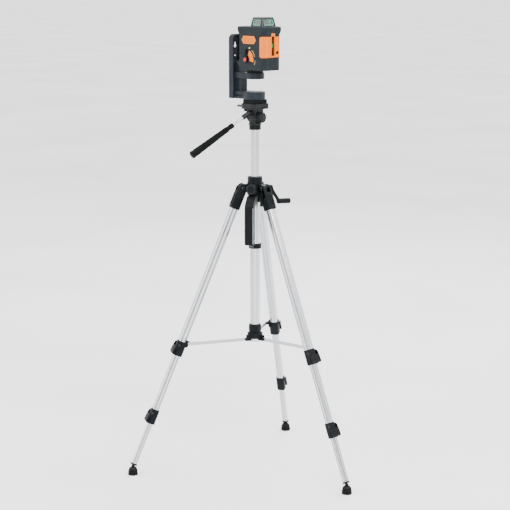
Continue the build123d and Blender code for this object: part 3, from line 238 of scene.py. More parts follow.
def pathOf(x, y, z):
    # a row of points from single numbers and arrays of one length
    return np.stack(np.broadcast_arrays(x, y, z), -1).astype(float)


def flatPath(outline, height):
    return pathOf(outline[:, 0], outline[:, 1], height)


def slab(outline, low, high, edge, place=world, steps=3):
    # The outline stacked from low to high, drawn in along a quarter circle at both ends.
    turn = np.linspace(0, pi / 2, steps)
    insets = np.concatenate([edge * (1 - np.sin(turn)), edge * (1 - np.cos(turn))])
    heights = np.concatenate([low + edge * (1 - np.cos(turn)), high - edge * (1 - np.sin(turn))])
    rows = [flatPath(drawnIn(outline, inset), height) for inset, height in zip(insets, heights)]
    return gridShape(np.stack(rows), place)


def dividedPath(corners, counts):
    # Each corner is followed by even steps towards the next one, its count of points in all.
    starts = corners[:len(counts)]
    ways = np.roll(corners, -1, 0)[:len(counts)] - starts
    index = np.arange(counts.sum()) - np.repeat(np.cumsum(counts) - counts, counts)
    share = index * np.repeat(1 / counts, counts)
    return np.repeat(starts, counts, 0) + np.repeat(ways, counts, 0) * share[:, None]


def fillPath(corners, step, closed=True):
    # points at even steps along each straight stretch, so that a thread keeps its roundness at a corner
    lengths = np.linalg.norm(np.roll(corners, -1, 0) - corners, axis=1)
    lengths = lengths if closed else lengths[:-1]
    points = dividedPath(corners, np.maximum((lengths / step).astype(int), 2))
    return points if closed else np.concatenate([points, corners[-1:]])


def bead(path, radius, place=world, closed=False, up=zWay, flat=1.0):
    # A round thread along a path, 8 points round. Each ring stands square to the path, and flat is its
    # height over its width.
    angle = np.arange(8) * 2 * pi / 8
    along = np.roll(path, -1, 0) - np.roll(path, 1, 0) if closed else np.gradient(path, axis=0)
    along = unit(along)
    side = unit(np.cross(np.broadcast_to(up, along.shape), along))
    top = np.cross(along, side)
    grid = path[:, None] + side[:, None] * radius * np.cos(angle)[:, None] \
        + top[:, None] * flat * radius * np.sin(angle)[:, None]
    return gridShape(grid, place, closed)


oddUp = (0.47, 0.31, 0.83)  # no stretch of the paths that turn through three ways runs along it


def evenly(count, pitch):
    # places at an even pitch about nought
    return (np.arange(count) - (count - 1) / 2) * pitch


# objects

joinGaps = {"new": 1e-7, "copy": 3e-6}  # metres, under which two points of a mesh are one
copySharp = 32


def joinPoints(mesh, gap, flatten=False):
    # points that meet become one, then slivers go, or flat faces are joined again
    work = bmesh.new()
    work.from_mesh(mesh)
    bmesh.ops.remove_doubles(work, verts=work.verts, dist=gap)
    if flatten:
        bmesh.ops.dissolve_limit(work, angle_limit=radians(1), verts=work.verts, edges=work.edges)
    else:
        bmesh.ops.dissolve_degenerate(work, dist=gap, edges=work.edges)
    work.to_mesh(mesh)
    work.free()


def addPiece(name, shapes, node, finish, sharp=35):
    # one mesh of all the shapes, which rides with the node
    starts = np.cumsum([0] + [len(points) for points, _ in shapes]).tolist()
    faces = [[start + index for index in face] for start, (_, own) in zip(starts, shapes) for face in own]
    mesh = bpy.data.meshes.new(name)
    mesh.from_pydata((np.concatenate([points for points, _ in shapes]) * mm).tolist(), [], faces)
    joinPoints(mesh, joinGaps["new"])
    return finishPiece(name, mesh, node, finish, sharp)


def finishPiece(name, mesh, node, finish, sharp):
    mesh.shade_smooth()
    mesh.set_sharp_from_angle(angle=radians(sharp))
    mesh.materials.clear()
    mesh.materials.append(finishes[finish])
    piece = bpy.data.objects.new(name, mesh)
    bpy.context.scene.collection.objects.link(piece)
    body = bodyOf[node]
    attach(piece, body)
    return piece


def softCopy(node, finish, edge, clamped=False):
    # the node's own shape, with its edges rounded
    mesh = nodes[node].data.copy()
    joinPoints(mesh, joinGaps["copy"], flatten=True)
    piece = finishPiece(node + "_body", mesh, node, finish, copySharp)
    if edge:
        rounding = piece.modifiers.new("rounded edges", "BEVEL")
        rounding.width = edge * mm
        rounding.segments = 2
        rounding.limit_method = "ANGLE"
        rounding.angle_limit = radians(copySharp)
        rounding.use_clamp_overlap = clamped
        rounding.harden_normals = True
    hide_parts(node)


# finishes: one set of effects, mixed in each material with its own values

effectSizes = {"slowShare": 0.045, "fineDetail": 3.0, "slowDetail": 2.0, "cloud": (0.25, 0.75), "edgeGain": 9.0,
               "rubScale": 260.0, "rubDetail": 4.0, "rubbed": (0.42, 0.62), "facingUp": (0.3, 1.0), "dustScale": 45.0,
               "dustDetail": 5.0, "dusty": (0.35, 0.7), "dustRough": 0.4, "shade": 0.86, "lift": 0.3, "dimGlow": 0.8,
               "glowCloud": 2500.0, "plasticIor": 1.49}


def srgb(colour):
    share = np.array(colour) / 255
    return (*np.where(share <= 0.04045, share / 12.92, ((share + 0.055) / 1.055) ** 2.4), 1.0)


def newGroup(name, inputs, outputs):
    # a group that takes a vector and numbers, and gives numbers
    group = bpy.data.node_groups.new(name, "ShaderNodeTree")
    group.interface.new_socket(name="Vector", in_out="INPUT", socket_type="NodeSocketVector")
    for label, value in inputs.items():
        socket = group.interface.new_socket(name=label, in_out="INPUT", socket_type="NodeSocketFloat")
        socket.default_value = value
    for label in outputs:
        group.interface.new_socket(name=label, in_out="OUTPUT", socket_type="NodeSocketFloat")
    return group, group.nodes.new("NodeGroupInput").outputs, group.nodes.new("NodeGroupOutput").inputs


def addNode(tree, kind, inputs, **settings):
    # each input, by name or number, is linked from a socket or set to a value
    node = tree.nodes.new("ShaderNode" + kind)
    for key, value in settings.items():
        setattr(node, key, value)
    for key, value in inputs.items():
        if isinstance(value, bpy.types.NodeSocket):
            tree.links.new(value, node.inputs[key])
        else:
            node.inputs[key].default_value = value
    return node


def maths(tree, operation, a, b=0.0, clamp=False):
    return addNode(tree, "Math", {0: a, 1: b}, operation=operation, use_clamp=clamp).outputs[0]


def mixColour(tree, factor, first, second):
    return addNode(tree, "Mix", {0: factor, 6: first, 7: second}, data_type="RGBA").outputs[2]


def spread(tree, value, fromRange, toRange=(0.0, 1.0), curve="LINEAR"):
    inputs = dict(enumerate([value, *fromRange, *toRange]))
    return addNode(tree, "MapRange", inputs, interpolation_type=curve).outputs[0]


def noise(tree, vector, scale, detail):
    return addNode(tree, "TexNoise", {"Vector": vector, "Scale": scale, "Detail": detail}).outputs[0]


def grainGroup():
    # fine grain for the bump and slow cloudiness for the colour
    group, into, out = newGroup("moulded grain", {"Scale": 900.0}, ["Height", "Cloud"])
    slowScale = maths(group, "MULTIPLY", into[1], effectSizes["slowShare"])
    group.links.new(noise(group, into[0], into[1], effectSizes["fineDetail"]), out[0])
    group.links.new(noise(group, into[0], slowScale, effectSizes["slowDetail"]), out[1])
    return group


def wearGroup():
    # where the softened normal leaves the true one there is an edge, and noise breaks the edge up
    group, into, out = newGroup("rubbed edges", {"Radius": 0.0012, "Amount": 0.5}, ["Mask"])
    soft = addNode(group, "Bevel", {"Radius": into[1]}, samples=4).outputs[0]
    true = addNode(group, "NewGeometry", {}).outputs["Normal"]
    facing = addNode(group, "VectorMath", {0: soft, 1: true}, operation="DOT_PRODUCT").outputs["Value"]
    edge = maths(group, "MULTIPLY", maths(group, "SUBTRACT", 1.0, facing), effectSizes["edgeGain"], True)
    breakUp = noise(group, into[0], effectSizes["rubScale"], effectSizes["rubDetail"])
    patchy = maths(group, "MULTIPLY", edge, spread(group, breakUp, effectSizes["rubbed"]))
    group.links.new(maths(group, "MULTIPLY", patchy, into[2], True), out[0])
    return group


def dustGroup():
    # dust, and in some finishes painted sheen, on what faces up, in soft patches
    group, into, out = newGroup("settled dust", {"Amount": 0.2}, ["Mask"])
    own = addNode(group, "TexCoord", {}).outputs["Normal"]
    height = addNode(group, "SeparateXYZ", {0: own}).outputs[2]
    patch = noise(group, into[0], effectSizes["dustScale"], effectSizes["dustDetail"])
    mask = maths(group, "MULTIPLY", spread(group, height, effectSizes["facingUp"]),
                 spread(group, patch, effectSizes["dusty"]))
    group.links.new(maths(group, "MULTIPLY", mask, into[1]), out[0])
    return group


effects = {"grain": grainGroup(), "wear": wearGroup(), "dust": dustGroup()}


def effect(tree, name, vector, **values):
    return addNode(tree, "Group", {"Vector": vector, **values}, node_tree=effects[name]).outputs


finishes = {}
plainFinish = {"second": None, "rough": (0.4, 0.55), "metal": 0.0, "coat": 0.0, "grain": 900.0, "bump": 0.25,
               "depth": 0.00006, "wear": 0.35, "wearRadius": 0.0011, "worn": None, "dust": 0.12,
               "dusty": (150, 150, 145), "turn": None, "stretch": (1, 1, 1), "specular": 0.5, "clear": None,
               "lit": None}
bare = {"wear": 0, "dust": 0}
glass = {"rough": (0.03, 0.09), "bump": 0.05, "grain": 300.0, **bare}
satin = {"second": (184, 186, 190), "rough": (0.15, 0.25), "metal": 1.0, "grain": 700.0, "bump": 0.12,
         "depth": 0.00003, "wear": 0.25, "wearRadius": 0.0008, "worn": (250, 250, 250), "dust": 0.05}


def addFinish(key, name, colour, **changes):
    # The base colour clouds between two tones, then takes rubbed edges and upward patches of dust and painted sheen,
    # and the grain is a bump.
    # A lit finish glows with painted light, in slow clouds of its own.
    values = {**plainFinish, **changes}
    material = finishes[key] = bpy.data.materials.new(name)
    material.use_nodes = True
    tree = material.node_tree
    shader = tree.nodes["Principled BSDF"]
    vector = addNode(tree, "TexCoord", {}).outputs["Object"]
    if values["turn"]:
        vector = addNode(tree, "Mapping", {"Vector": vector, "Rotation": values["turn"]}).outputs[0]
    stretched = addNode(tree, "Mapping", {"Vector": vector, "Scale": values["stretch"]}).outputs[0]
    height, cloud = effect(tree, "grain", stretched, Scale=values["grain"])
    second = values["second"] or [channel * effectSizes["shade"] for channel in colour]
    tone = mixColour(tree, spread(tree, cloud, effectSizes["cloud"]), srgb(colour), srgb(second))
    rough = spread(tree, cloud, effectSizes["cloud"], values["rough"])
    if values["wear"]:
        worn = values["worn"] or [channel + (255 - channel) * effectSizes["lift"] for channel in colour]
        rubbed = effect(tree, "wear", vector, Radius=values["wearRadius"], Amount=values["wear"])
        tone = mixColour(tree, rubbed[0], tone, srgb(worn))
    if values["dust"]:
        dusty = effect(tree, "dust", vector, Amount=values["dust"])
        tone = mixColour(tree, dusty[0], tone, srgb(values["dusty"]))
        rough = maths(tree, "ADD", rough, maths(tree, "MULTIPLY", dusty[0], effectSizes["dustRough"]), True)
    if values["lit"]:
        shader.inputs["Emission Strength"].default_value = 1.0
        glow = effect(tree, "grain", vector, Scale=effectSizes["glowCloud"])[1]
        dim = [channel * effectSizes["dimGlow"] for channel in values["lit"]]
        tree.links.new(mixColour(tree, glow, srgb(dim), srgb(values["lit"])), shader.inputs["Emission Color"])
    bump = addNode(tree, "Bump", {"Strength": values["bump"], "Distance": values["depth"], "Height": height})
    for label, socket in (("Base Color", tone), ("Roughness", rough), ("Normal", bump.outputs[0])):
        tree.links.new(socket, shader.inputs[label])
    constants = {"Metallic": values["metal"], "Coat Weight": values["coat"],
                 "Specular IOR Level": values["specular"]}
    if values["clear"]:
        constants.update({"Transmission Weight": values["clear"], "IOR": effectSizes["plasticIor"]})
    for label, value in constants.items():
        shader.inputs[label].default_value = value
    return material


addFinish("column", "satin column aluminium", (206, 208, 212), stretch=(1, 1, 0.02), **satin)
addFinish("strut", "pale strut aluminium", (178, 180, 184), **{**satin, "rough": (0.35, 0.5)})
addFinish("steel", "bright plated steel", (196, 198, 201), second=(150, 152, 156), rough=(0.14, 0.28),
          metal=1.0, wear=0.15, dust=0.03, bump=0.05)
addFinish("gunmetal", "dark plated steel", (58, 63, 68), second=(42, 46, 50), rough=(0.28, 0.42), metal=1.0)
# painted shade, for the dark strips in the leg tubes' grooves
addFinish("grooveShade", "shaded groove aluminium", (128, 131, 136), second=(112, 115, 120),
          rough=(0.4, 0.55), metal=1.0, **bare)
addFinish("casting", "black tripod plastic", (8, 12, 15), second=(5, 8, 10), rough=(0.36, 0.52),
          wear=0.25, worn=(42, 48, 52), dust=0.03, specular=0.1)
# the head's grey-green patches on what faces up are painted sheen
addFinish("head", "grey-green head plastic", (12, 17, 18), second=(7, 10, 11), rough=(0.3, 0.46),
          wear=0.35, worn=(62, 70, 70), dust=0.06, dusty=(84, 94, 90), specular=0.18)
addFinish("tab", "grey tab plastic", (44, 50, 52), rough=(0.35, 0.5), worn=(96, 104, 106), specular=0.3)
addFinish("grip", "black grip rubber", (3, 6, 7), second=(2, 3, 4), rough=(0.5, 0.68), bump=0.5,
          grain=1400.0, wear=0.15, worn=(34, 38, 40), dust=0.03, specular=0.08)
addFinish("footRubber", "black foot rubber", (7, 8, 9), second=(4, 5, 6), rough=(0.55, 0.75), bump=0.5,
          grain=1200.0, wear=0.3, worn=(50, 50, 48), dust=0.1, specular=0.12)
# the bracket's and the shell's tinted patches on what faces up are painted sheen
addFinish("bracket", "blue-black bracket plastic", (25, 30, 37), second=(19, 23, 29), rough=(0.36, 0.5),
          wear=0.3, worn=(58, 64, 72), grain=1100.0, dust=0.05, dusty=(74, 84, 92), specular=0.15)
addFinish("shell", "slate laser plastic", (24, 31, 34), second=(19, 25, 28), rough=(0.46, 0.6), wear=0.2,
          worn=(60, 68, 72), grain=1300.0, bump=0.35, dust=0.04, dusty=(96, 106, 108), specular=0.12)
addFinish("cage", "dark cage plastic", (14, 18, 20), second=(9, 12, 13), rough=(0.22, 0.36), wear=0.35,
          worn=(82, 88, 92), specular=0.35)
addFinish("orange", "orange panel plastic", (206, 102, 0), second=(200, 96, 0), rough=(0.42, 0.54),
          wear=0.2, worn=(236, 146, 50), dust=0.02, specular=0.15)
# orange darkened with painted shade, for the walls inside the slit
addFinish("liner", "shaded orange slit wall", (146, 62, 2), second=(124, 52, 2), rough=(0.4, 0.55), wear=0)
# for the label's rim, and for painted highlights down the panel's chamfer folds
addFinish("paleOrange", "pale orange rim and painted highlight", (232, 148, 50), rough=(0.3, 0.4), **bare)
addFinish("red", "red switch cap", (196, 12, 14), second=(176, 6, 8), rough=(0.3, 0.42), coat=0.1, specular=0.2)
addFinish("line", "dark seam and painted hole shade", (7, 8, 9), rough=(0.5, 0.7), specular=0.2, **bare)
addFinish("rimLine", "dark red-brown outline", (34, 12, 8), rough=(0.5, 0.7), specular=0.2, **bare)
addFinish("mark", "printed straw mark", (206, 182, 120), rough=(0.5, 0.6), **bare)
addFinish("optics", "dark optics plastic", (6, 30, 24), second=(4, 18, 14), rough=(0.18, 0.3), coat=0.3)
addFinish("blueScrew", "blued screw", (40, 84, 140), rough=(0.2, 0.3), metal=0.9)
addFinish("mint", "mint cage glass", (186, 242, 218), clear=0.92, **glass)
addFinish("mintRim", "mint glass edge", (110, 220, 182), rough=(0.1, 0.2), coat=0.4, **bare)
addFinish("window", "dark green window", (18, 74, 46), clear=0.4, **glass)
# painted glow, for the bright green spots in the slit and the cage
addFinish("glow", "painted green glow", (0, 110, 44), rough=(0.2, 0.3), grain=400.0, lit=(6, 226, 84), **bare)
for legName in legAzimuths:
    # the tube's long cloudiness runs along its own leg
    along = Matrix(legPlace(legName)[1].tolist()).to_euler()
    addFinish(legName + "Tube", "satin tube aluminium " + legName, (210, 212, 216), turn=along,
              stretch=(1, 1, 0.02), **satin)
print("finishes mixed:", len(finishes))


# legs

# The grooves' place and the tube's corners are for a tube 20 wide, and go with its width. The lower tube is
# drawn from above its own end, which the foot's ball takes.
legs = {"groove": 4.1, "grooveDepth": 0.9, "grooveWidth": 0.7, "lineHalf": 0.45, "lineThin": 0.12, "lineDepth": 0.68,
        "tubeEnd": 0.35, "corner": 5.2, "wall": 1.2, "startAbove": {"upper": 0, "middle": 0, "lower": 15.0},
        "panelFace": 13.0, "panelDepth": 0.55, "panelSide": 8.2, "panelTop": -16, "panelFoot": -50, "shoulderRibs": 3,
        "ribPitch": 5.0, "ribHalf": 0.75, "ribProud": 0.7, "ribShort": 4, "bolt": (4.6, 1.6), "clampProud": 2.4,
        "clampCorner": 7.4, "band": 0.45, "bandDrop": 7.5, "leverRibs": 4, "leverRibStart": 4.5, "leverRibPitch": 2.3,
        "leverRibProud": 0.7, "pinHead": 2.6, "pinProud": 0.5, "rivet": 2.6, "rivetDome": 0.6,
        "rivetAt": (172.0, 332.0)}
footBell = [(0, -20), (11.6, -20), (12.3, -19.6), (12.5, -19), (12.5, -16.6), (12.25, -16.2), (12.25, -15.6),
            (12.15, -13.0), (11.6, -9.4), (10.9, -6.4), (9.9, -3.9), (8.7, -2.0), (7.4, -0.9), (6.2, -0.5),
            (5.4, -0.7), (5.1, -1.6), (4.5, -3.1), (3.6, -4.2), (2.0, -5.2), (0, -5.6)]
endCap = [(0, 10.4), (6.6, 10.4), (7.8, 10.0), (8.6, 8.4), (9.0, 6.9), (8.7, 6.2), (6.6, 6.4), (4.6, 5.8),
          (3.6, 4.4), (4.1, 2.9), (4.8, 1.4), (5.0, 0), (4.6, -1.9), (3.5, -3.6), (1.8, -4.7), (0, -5.0)]


def tubeOutline(half, radius, grooveAt, depth):
    # A rounded rectangle with points all along its sides. Each flat face dips by the depth times a bell curve
    # about the two lines that lie grooveAt from its middle.
    outline = boxOutline(*half, radius, 7)
    isSide = np.linalg.norm(np.roll(outline, -1, 0) - outline, axis=1) > radius * 0.5
    dense = dividedPath(outline, np.where(isSide, 12, 1))
    onFace = np.abs(dense) > half - 0.01
    across = np.where(onFace[:, 0], np.abs(dense[:, 1]), np.abs(dense[:, 0]))
    bell = np.exp(-((across - grooveAt) / legs["grooveWidth"]) ** 2) * onFace.any(1)
    return drawnIn(dense, depth * bell)


def dressTube(leg, part, place):
    # The rows run up the grooved outside, drawn in at both ends, and back down the bore. A darker strip of
    # painted shade lies in each groove.
    name, node = f"{leg}_{part}_tube", f"{leg}_leg_{part}_tube"
    low, high = boxIn(node, place)
    half = (high - low)[:2] / 2
    bottom, top = low[2] + legs["startAbove"][part], high[2]
    end, wall = legs["tubeEnd"], legs["wall"]
    corner, grooveAt = legs["corner"] * half[1] / 10, legs["groove"] * half[1] / 10
    outer = tubeOutline(half, corner, grooveAt, legs["grooveDepth"])
    inner = tubeOutline(half - wall, corner - wall, grooveAt, 0)
    heights = [bottom, *np.linspace(bottom + end, top - end, 5), top]
    rows = [flatPath(drawnIn(outer, inset), height) for inset, height in zip([end, 0, 0, 0, 0, 0, end], heights)]
    rows += [flatPath(inner, top), flatPath(inner, bottom)]
    piece = addPiece(name + "_drawn", [gridShape(np.stack(rows), place, ring=True)], node, leg + "Tube", sharp=40)
    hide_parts(node)
    (x, y), wide, thin = half - legs["lineDepth"], legs["lineHalf"], legs["lineThin"]
    # each strip is a thin dark sheet of painted shade in a groove
    strips = [slab(boxOutline(halfX, halfY, 0.08, 3, signX * atX, signY * atY), bottom + 0.5, top - 0.5, 0.05, place, 2)
              for atX, atY, halfX, halfY in ((x, grooveAt, thin, wide), (grooveAt, y, wide, thin))
              for signX in (-1, 1) for signY in (-1, 1)]
    addPiece(name + "_groove_shade", strips, node, "grooveShade")


def dressShoulder(leg, place):
    # a ribbed panel on the casting's outer face, and a bolt head at each end of the hinge
    node = f"{leg}_leg_shoulder"
    softCopy(node, "casting", 0.7)
    top, foot, proud = legs["panelTop"], legs["panelFoot"], legs["panelDepth"]
    halfTall = (top - foot) / 2
    outlook = faceOn(place, (legs["panelFace"], 0, (top + foot) / 2), 1, 0)
    panel = slab(boxOutline(legs["panelSide"], halfTall, 3.0), -0.4, proud, 0.4, outlook)
    rib = boxOutline(legs["ribHalf"], halfTall - legs["ribShort"], 0.7)
    ribs = [slab(rib, 0.2, proud + legs["ribProud"], 0.4, moved(outlook, x=at))
            for at in evenly(legs["shoulderRibs"], legs["ribPitch"])]
    addPiece(f"{leg}_shoulder_panel", [panel, *ribs], node, "casting")
    width = boxIn(node, place)[1][1]
    bolts = [screwHead(*legs["bolt"], moved(faceOn(place, (0, side * width, 0), 2, 1, side), z=-0.2))
             for side in (-1, 1)]
    addPiece(f"{leg}_hinge_bolt", bolts, node, "gunmetal")


def dressClamp(leg, which, inside, place):
    # a raised band round the clamp, ribs across the lever's end and a head at each end of its pin
    clamp, lever = f"{leg}_leg_{which}_clamp", f"{leg}_leg_{which}_lever"
    softCopy(clamp, "casting", 0.5)
    softCopy(lever, "casting", 0.35)
    tubeLow, tubeHigh = boxIn(f"{leg}_leg_{inside}_tube", place)
    half = (tubeHigh - tubeLow)[:2] / 2 + legs["clampProud"]
    outline = drawnIn(boxOutline(*half, legs["clampCorner"], 6), 0.15)
    path = flatPath(outline, boxIn(clamp, place)[1][2] - legs["bandDrop"])
    addPiece(f"{leg}_{which}_clamp_bands", [bead(path, legs["band"], place, True)], clamp, "casting")
    (_, _, bottom), (end, width, _) = boxIn(lever, place)
    rib = boxOutline(width * 0.72, 0.55, 0.5)
    heights = bottom + legs["leverRibStart"] + np.arange(legs["leverRibs"]) * legs["leverRibPitch"]
    ribs = [slab(rib, -0.8, legs["leverRibProud"], 0.3, faceOn(place, (end - 0.9, 0, at), 1, 0)) for at in heights]
    addPiece(f"{leg}_{which}_lever_ribs", ribs, lever, "casting")
    pin = toLocal(jointAt[f"{leg}_{which}_lever_flip"], place)
    heads = [lathe(drum(legs["pinHead"], -0.2, legs["pinProud"], 0.2, 0.2),
                   faceOn(place, (pin[0], side * width, pin[2]), 2, 1, side), 24) for side in (-1, 1)]
    addPiece(f"{leg}_{which}_lever_pin", heads, lever, "gunmetal")


def dressFoot(leg, place):
    # a rubber bell turned about its own upright axis, and the leg's flared end cap turned about the leg
    swivel, outward = jointAt[leg + "_foot_swivel"], spoke(1, legAzimuths[leg])
    node = leg + "_foot"
    bell = lathe(footBell, placeAt(swivel, outward, zWay), 64)
    foot = addPiece(f"{leg}_foot_bell", [bell], node, "footRubber", sharp=50)
    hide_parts(node)
    addPiece(f"{leg}_end_cap", [lathe(endCap, placeAt(swivel, outward, place[1][2]), 40)],
             f"{leg}_leg_lower_tube", "casting")


def dressBrace(leg):
    node = leg + "_brace"
    softCopy(node, "strut", 0.3)
    place = outwards(legAzimuths[leg])
    reach, height = legs["rivetAt"]
    face = faceOn(place, (reach, boxIn(node, place)[1][1], height), 2, 1)
    rivet = lathe(drum(legs["rivet"], -0.3, 0.2, 0.2, legs["rivetDome"]), face, 24)
    addPiece(f"{leg}_brace_rivet", [rivet], node, "steel")


for legName in legAzimuths:
    place = legPlace(legName)
    for part in ("upper", "middle", "lower"):
        dressTube(legName, part, place)
    dressShoulder(legName, place)
    dressClamp(legName, "upper", "upper", place)
    dressClamp(legName, "lower", "middle", place)
    dressFoot(legName, place)
    dressBrace(legName)
print("legs dressed")


# hub, crown, carry handle, column and crank

trunk = {"sleeveRibs": 26, "ribDepth": 0.6, "sleeveLow": 351.0, "sleeveHigh": 367.0, "sleeveIn": 14.6,
         "sleeveOut": 15.7, "handleAzimuth": 300, "handleLines": (583, 672), "lineIn": 1.5, "lineSide": 10.85,
         "lineRadius": 0.6, "lockReach": 39.3, "knobRim": 10.2, "knobCap": 8.6, "crankAzimuth": 60,
         "crankHeight": 715.0, "crankDrop": 36.0, "knobLength": 28.0, "ringsAt": (5, 21, 5), "armFace": 44.0,
         "armScrew": (3.4, 1.2)}
# each ring's profile in radius and height; the knob's counts out from its rim, the crank's up from each ring
crownBand = [(18.0, 733.0), (18.55, 733.4), (18.55, 735.6), (18.0, 736.0)]
rimBand = [(-0.7, -0.3), (-0.5, 0.35), (0.5, 0.35), (0.7, -0.3)]
crankBand = [(6.3, -0.9), (6.85, -0.5), (6.85, 0.5), (6.3, 0.9)]


def dressHub():
    softCopy("brace_hub", "casting", 0.5)
    low, high, inside, outside = (trunk[key] for key in ("sleeveLow", "sleeveHigh", "sleeveIn", "sleeveOut"))
    rows = [(inside, low), (outside, low + 1), (outside, high - 1), (inside, high)]
    sleeve = lathe(rows, world, trunk["sleeveRibs"] * 8, trunk["sleeveRibs"], trunk["ribDepth"], (0, 1, 1, 0), True)
    addPiece("hub_sleeve_ribs", [sleeve], "brace_hub", "casting", sharp=50)


def dressCrown():
    softCopy("crown", "casting", 0.6)
    softCopy("guide_tube", "column", 0.2)
    softCopy("column_tube", "column", 0.2)
    addPiece("crown_ring_band", [ringBand(0, 0, crownBand, world, 96)], "crown", "casting")


def dressCarryHandle():
    # a pale line down each long edge of the handle's outer face
    softCopy("carry_handle", "casting", 0.6)
    place = outwards(trunk["handleAzimuth"])
    face = boxIn("carry_handle", place)[1][0] - trunk["lineIn"]
    heights = np.linspace(*trunk["handleLines"], 12)
    lines = [bead(pathOf(face, side * trunk["lineSide"], heights), trunk["lineRadius"], place, up=xWay)
             for side in (-1, 1)]
    addPiece("carry_handle_lines", lines, "carry_handle", "steel")


def dressLockKnob():
    softCopy("column_lock_knob", "casting", 0.5)
    place = faceOn(outwards(trunk["handleAzimuth"]), (trunk["lockReach"], 0, trunk["crankHeight"]), 2, 0)
    face = moved(place, z=boxIn("column_lock_knob", place)[1][2])
    ring = ringBand(trunk["knobRim"], 0, rimBand, face, 64)
    addPiece("lock_knob_rim", [ring], "column_lock_knob", "gunmetal")
    cap = lathe(drum(trunk["knobCap"], -0.3, 0.5, 0.4, 0.7), face, 48)
    addPiece("lock_knob_cap", [cap], "column_lock_knob", "casting")


def dressCrank():
    # rings round the crank's knob, and the screw that holds the arm on its shaft
    softCopy("crank", "casting", 0.5, clamped=True)
    softCopy("lift_pinion", "steel", 0)
    place = outwards(trunk["crankAzimuth"])
    knobStart = boxIn("crank", place)[1][0] - trunk["knobLength"]
    axis = faceOn(place, (knobStart, 0, trunk["crankHeight"] - trunk["crankDrop"]), 2, 0)
    rings = [ringBand(0, at, crankBand, axis, 40) for at in np.linspace(*trunk["ringsAt"])]
    addPiece("crank_knob_rings", rings, "crank", "casting")
    face = faceOn(place, (trunk["armFace"], 0, trunk["crankHeight"]), 2, 0)
    addPiece("crank_screw", [screwHead(*trunk["armScrew"], face)], "crank", "steel")


dressHub()
dressCrown()
dressCarryHandle()
dressLockKnob()
dressCrank()
print("centre dressed")


# pan head

head = {"gripRibs": 22, "gripRibDepth": 0.75, "gripNear": 6.4, "gripFar": 9.6, "gripBore": 3.2, "boreEnd": 25.0,
        "discOut": 16.0, "discCover": 10.2, "coverProud": 0.7, "screw": (2.6, 1.1), "knobCap": 8.8, "platformRibs": 19,
        "ribPitch": 2.1, "ribDrop": 11.0, "leverSideFrom": -1.0}
# one row for each ring of the grip: its share of the length, how far it stands from the even taper, and its ribs
gripRows = [(0, -1.6, 0), (0.004, -0.5, 0), (0.012, 0, 0), (0.03, 0, 0.5), (0.07, 0, 0.5), (0.085, -0.9, 0),
            (0.1, -1.2, 0), (0.12, -0.9, 0), (0.14, 0, 0.6), (0.16, 0, 1), (0.3, 0, 1), (0.45, 0, 1), (0.6, 0, 1),
            (0.75, 0, 1), (0.88, 0, 1), (0.92, 0, 0.6), (0.93, -0.7, 0), (0.945, -0.7, 0), (0.96, 0, 0),
            (0.985, 0, 0), (0.996, -0.7, 0), (1, -1.8, 0), (1, -9, 0)]


def flutedGrip():
    # The radius grows evenly along the handle, with a collar and a neck at its near end and a lip at its far
    # end, and dips between lengthwise ribs by one minus the absolute cosine of half the rib angle.
    points = nodePoints("handle_grip")
    middle = points.mean(0)
    along = np.linalg.svd(points - middle, full_matrices=False)[2][0]
    place = placeAt(middle, zWay, -along * np.sign(along[2]))
    start, stop = (corner[2] for corner in boxIn("handle_grip", place))
    share, trim, ribbed = np.array(gripRows).T
    radius = np.maximum(head["gripNear"] + (head["gripFar"] - head["gripNear"]) * share + trim, 0.6)
    bore = [(0.6, stop - 1.2), (head["gripBore"], start + head["boreEnd"]), (head["gripBore"], start)]
    profile = np.concatenate([np.column_stack([radius, start + share * (stop - start)]), bore])
    shape = lathe(profile, place, head["gripRibs"] * 10, head["gripRibs"], head["gripRibDepth"],
                  [*ribbed, 0, 0, 0], True)
    piece = addPiece("handle_grip_fluted", [shape], "handle_grip", "grip", sharp=50)
    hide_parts("handle_grip")
    softCopy("handle_rod", "steel", 0)


def dressTiltBody():
    # a domed cover and its screw on the left of the tilt axis, and a cap on the knob at its right
    softCopy("head_base", "casting", 0.6)
    softCopy("pan_base", "head", 0.5)
    softCopy("tilt_body", "head", 0.8)
    softCopy("tilt_knob", "casting", 0.4)
    axis = jointAt["head_tilt"]
    left = placeAt(axis - xWay * head["discOut"], zWay, -xWay)
    cover = lathe(drum(head["discCover"], -0.3, head["coverProud"], 0.5, 0.5), left, 64)
    addPiece("tilt_cover", [cover], "tilt_body", "head")
    screw = screwHead(*head["screw"], moved(left, z=head["coverProud"]))
    addPiece("tilt_cover_screw", [screw], "tilt_body", "steel")
    right = placeAt((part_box("tilt_knob")[1][0] / mm, axis[1], axis[2]), zWay, xWay)
    addPiece("tilt_knob_cap", [lathe(drum(head["knobCap"], -0.3, 0.4, 0.4, 0.5), right, 48)], "tilt_knob", "head")


def dressPlatform():
    # upright ribs on three sides, left off beside the release lever
    softCopy("platform", "head", 0.5)
    softCopy("release_lever", "tab", 0.5)
    softCopy("camera_plate", "grip", 0.5)
    low, high = (np.array(corner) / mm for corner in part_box("platform"))
    half, height = (high[0] - low[0]) / 2, high[2] - head["ribDrop"]
    faces = [placeAt(outward * half + np.cross(zWay, outward) * at + zWay * height, np.cross(zWay, outward), outward)
             for outward in (xWay, yWay, -yWay) for at in evenly(head["platformRibs"], head["ribPitch"])
             if outward[1] >= 0 or at >= head["leverSideFrom"]]
    ribs = [slab(boxOutline(0.5, 1.6, 0.4, 3), -0.5, 0.35, 0.2, face, 2) for face in faces]
    addPiece("platform_ribs", ribs, "platform", "head")


flutedGrip()
dressTiltBody()
dressPlatform()
print("pan head dressed")


# bracket and clamp wheel

bracket = {"plateFront": -55.5, "plateBack": -71.7, "half": 21.5, "plateCut": 1.0, "seams": (44.0, 119.0), "seam": 0.4,
           "footTop": 19.0, "holeAt": (-17.0, 3.0), "hole": 2.5}
holeBand = [(0, -0.2), (0.15, 0.2), (0.8, 0.2), (1.1, -0.2)]  # out from the hole's edge, and up


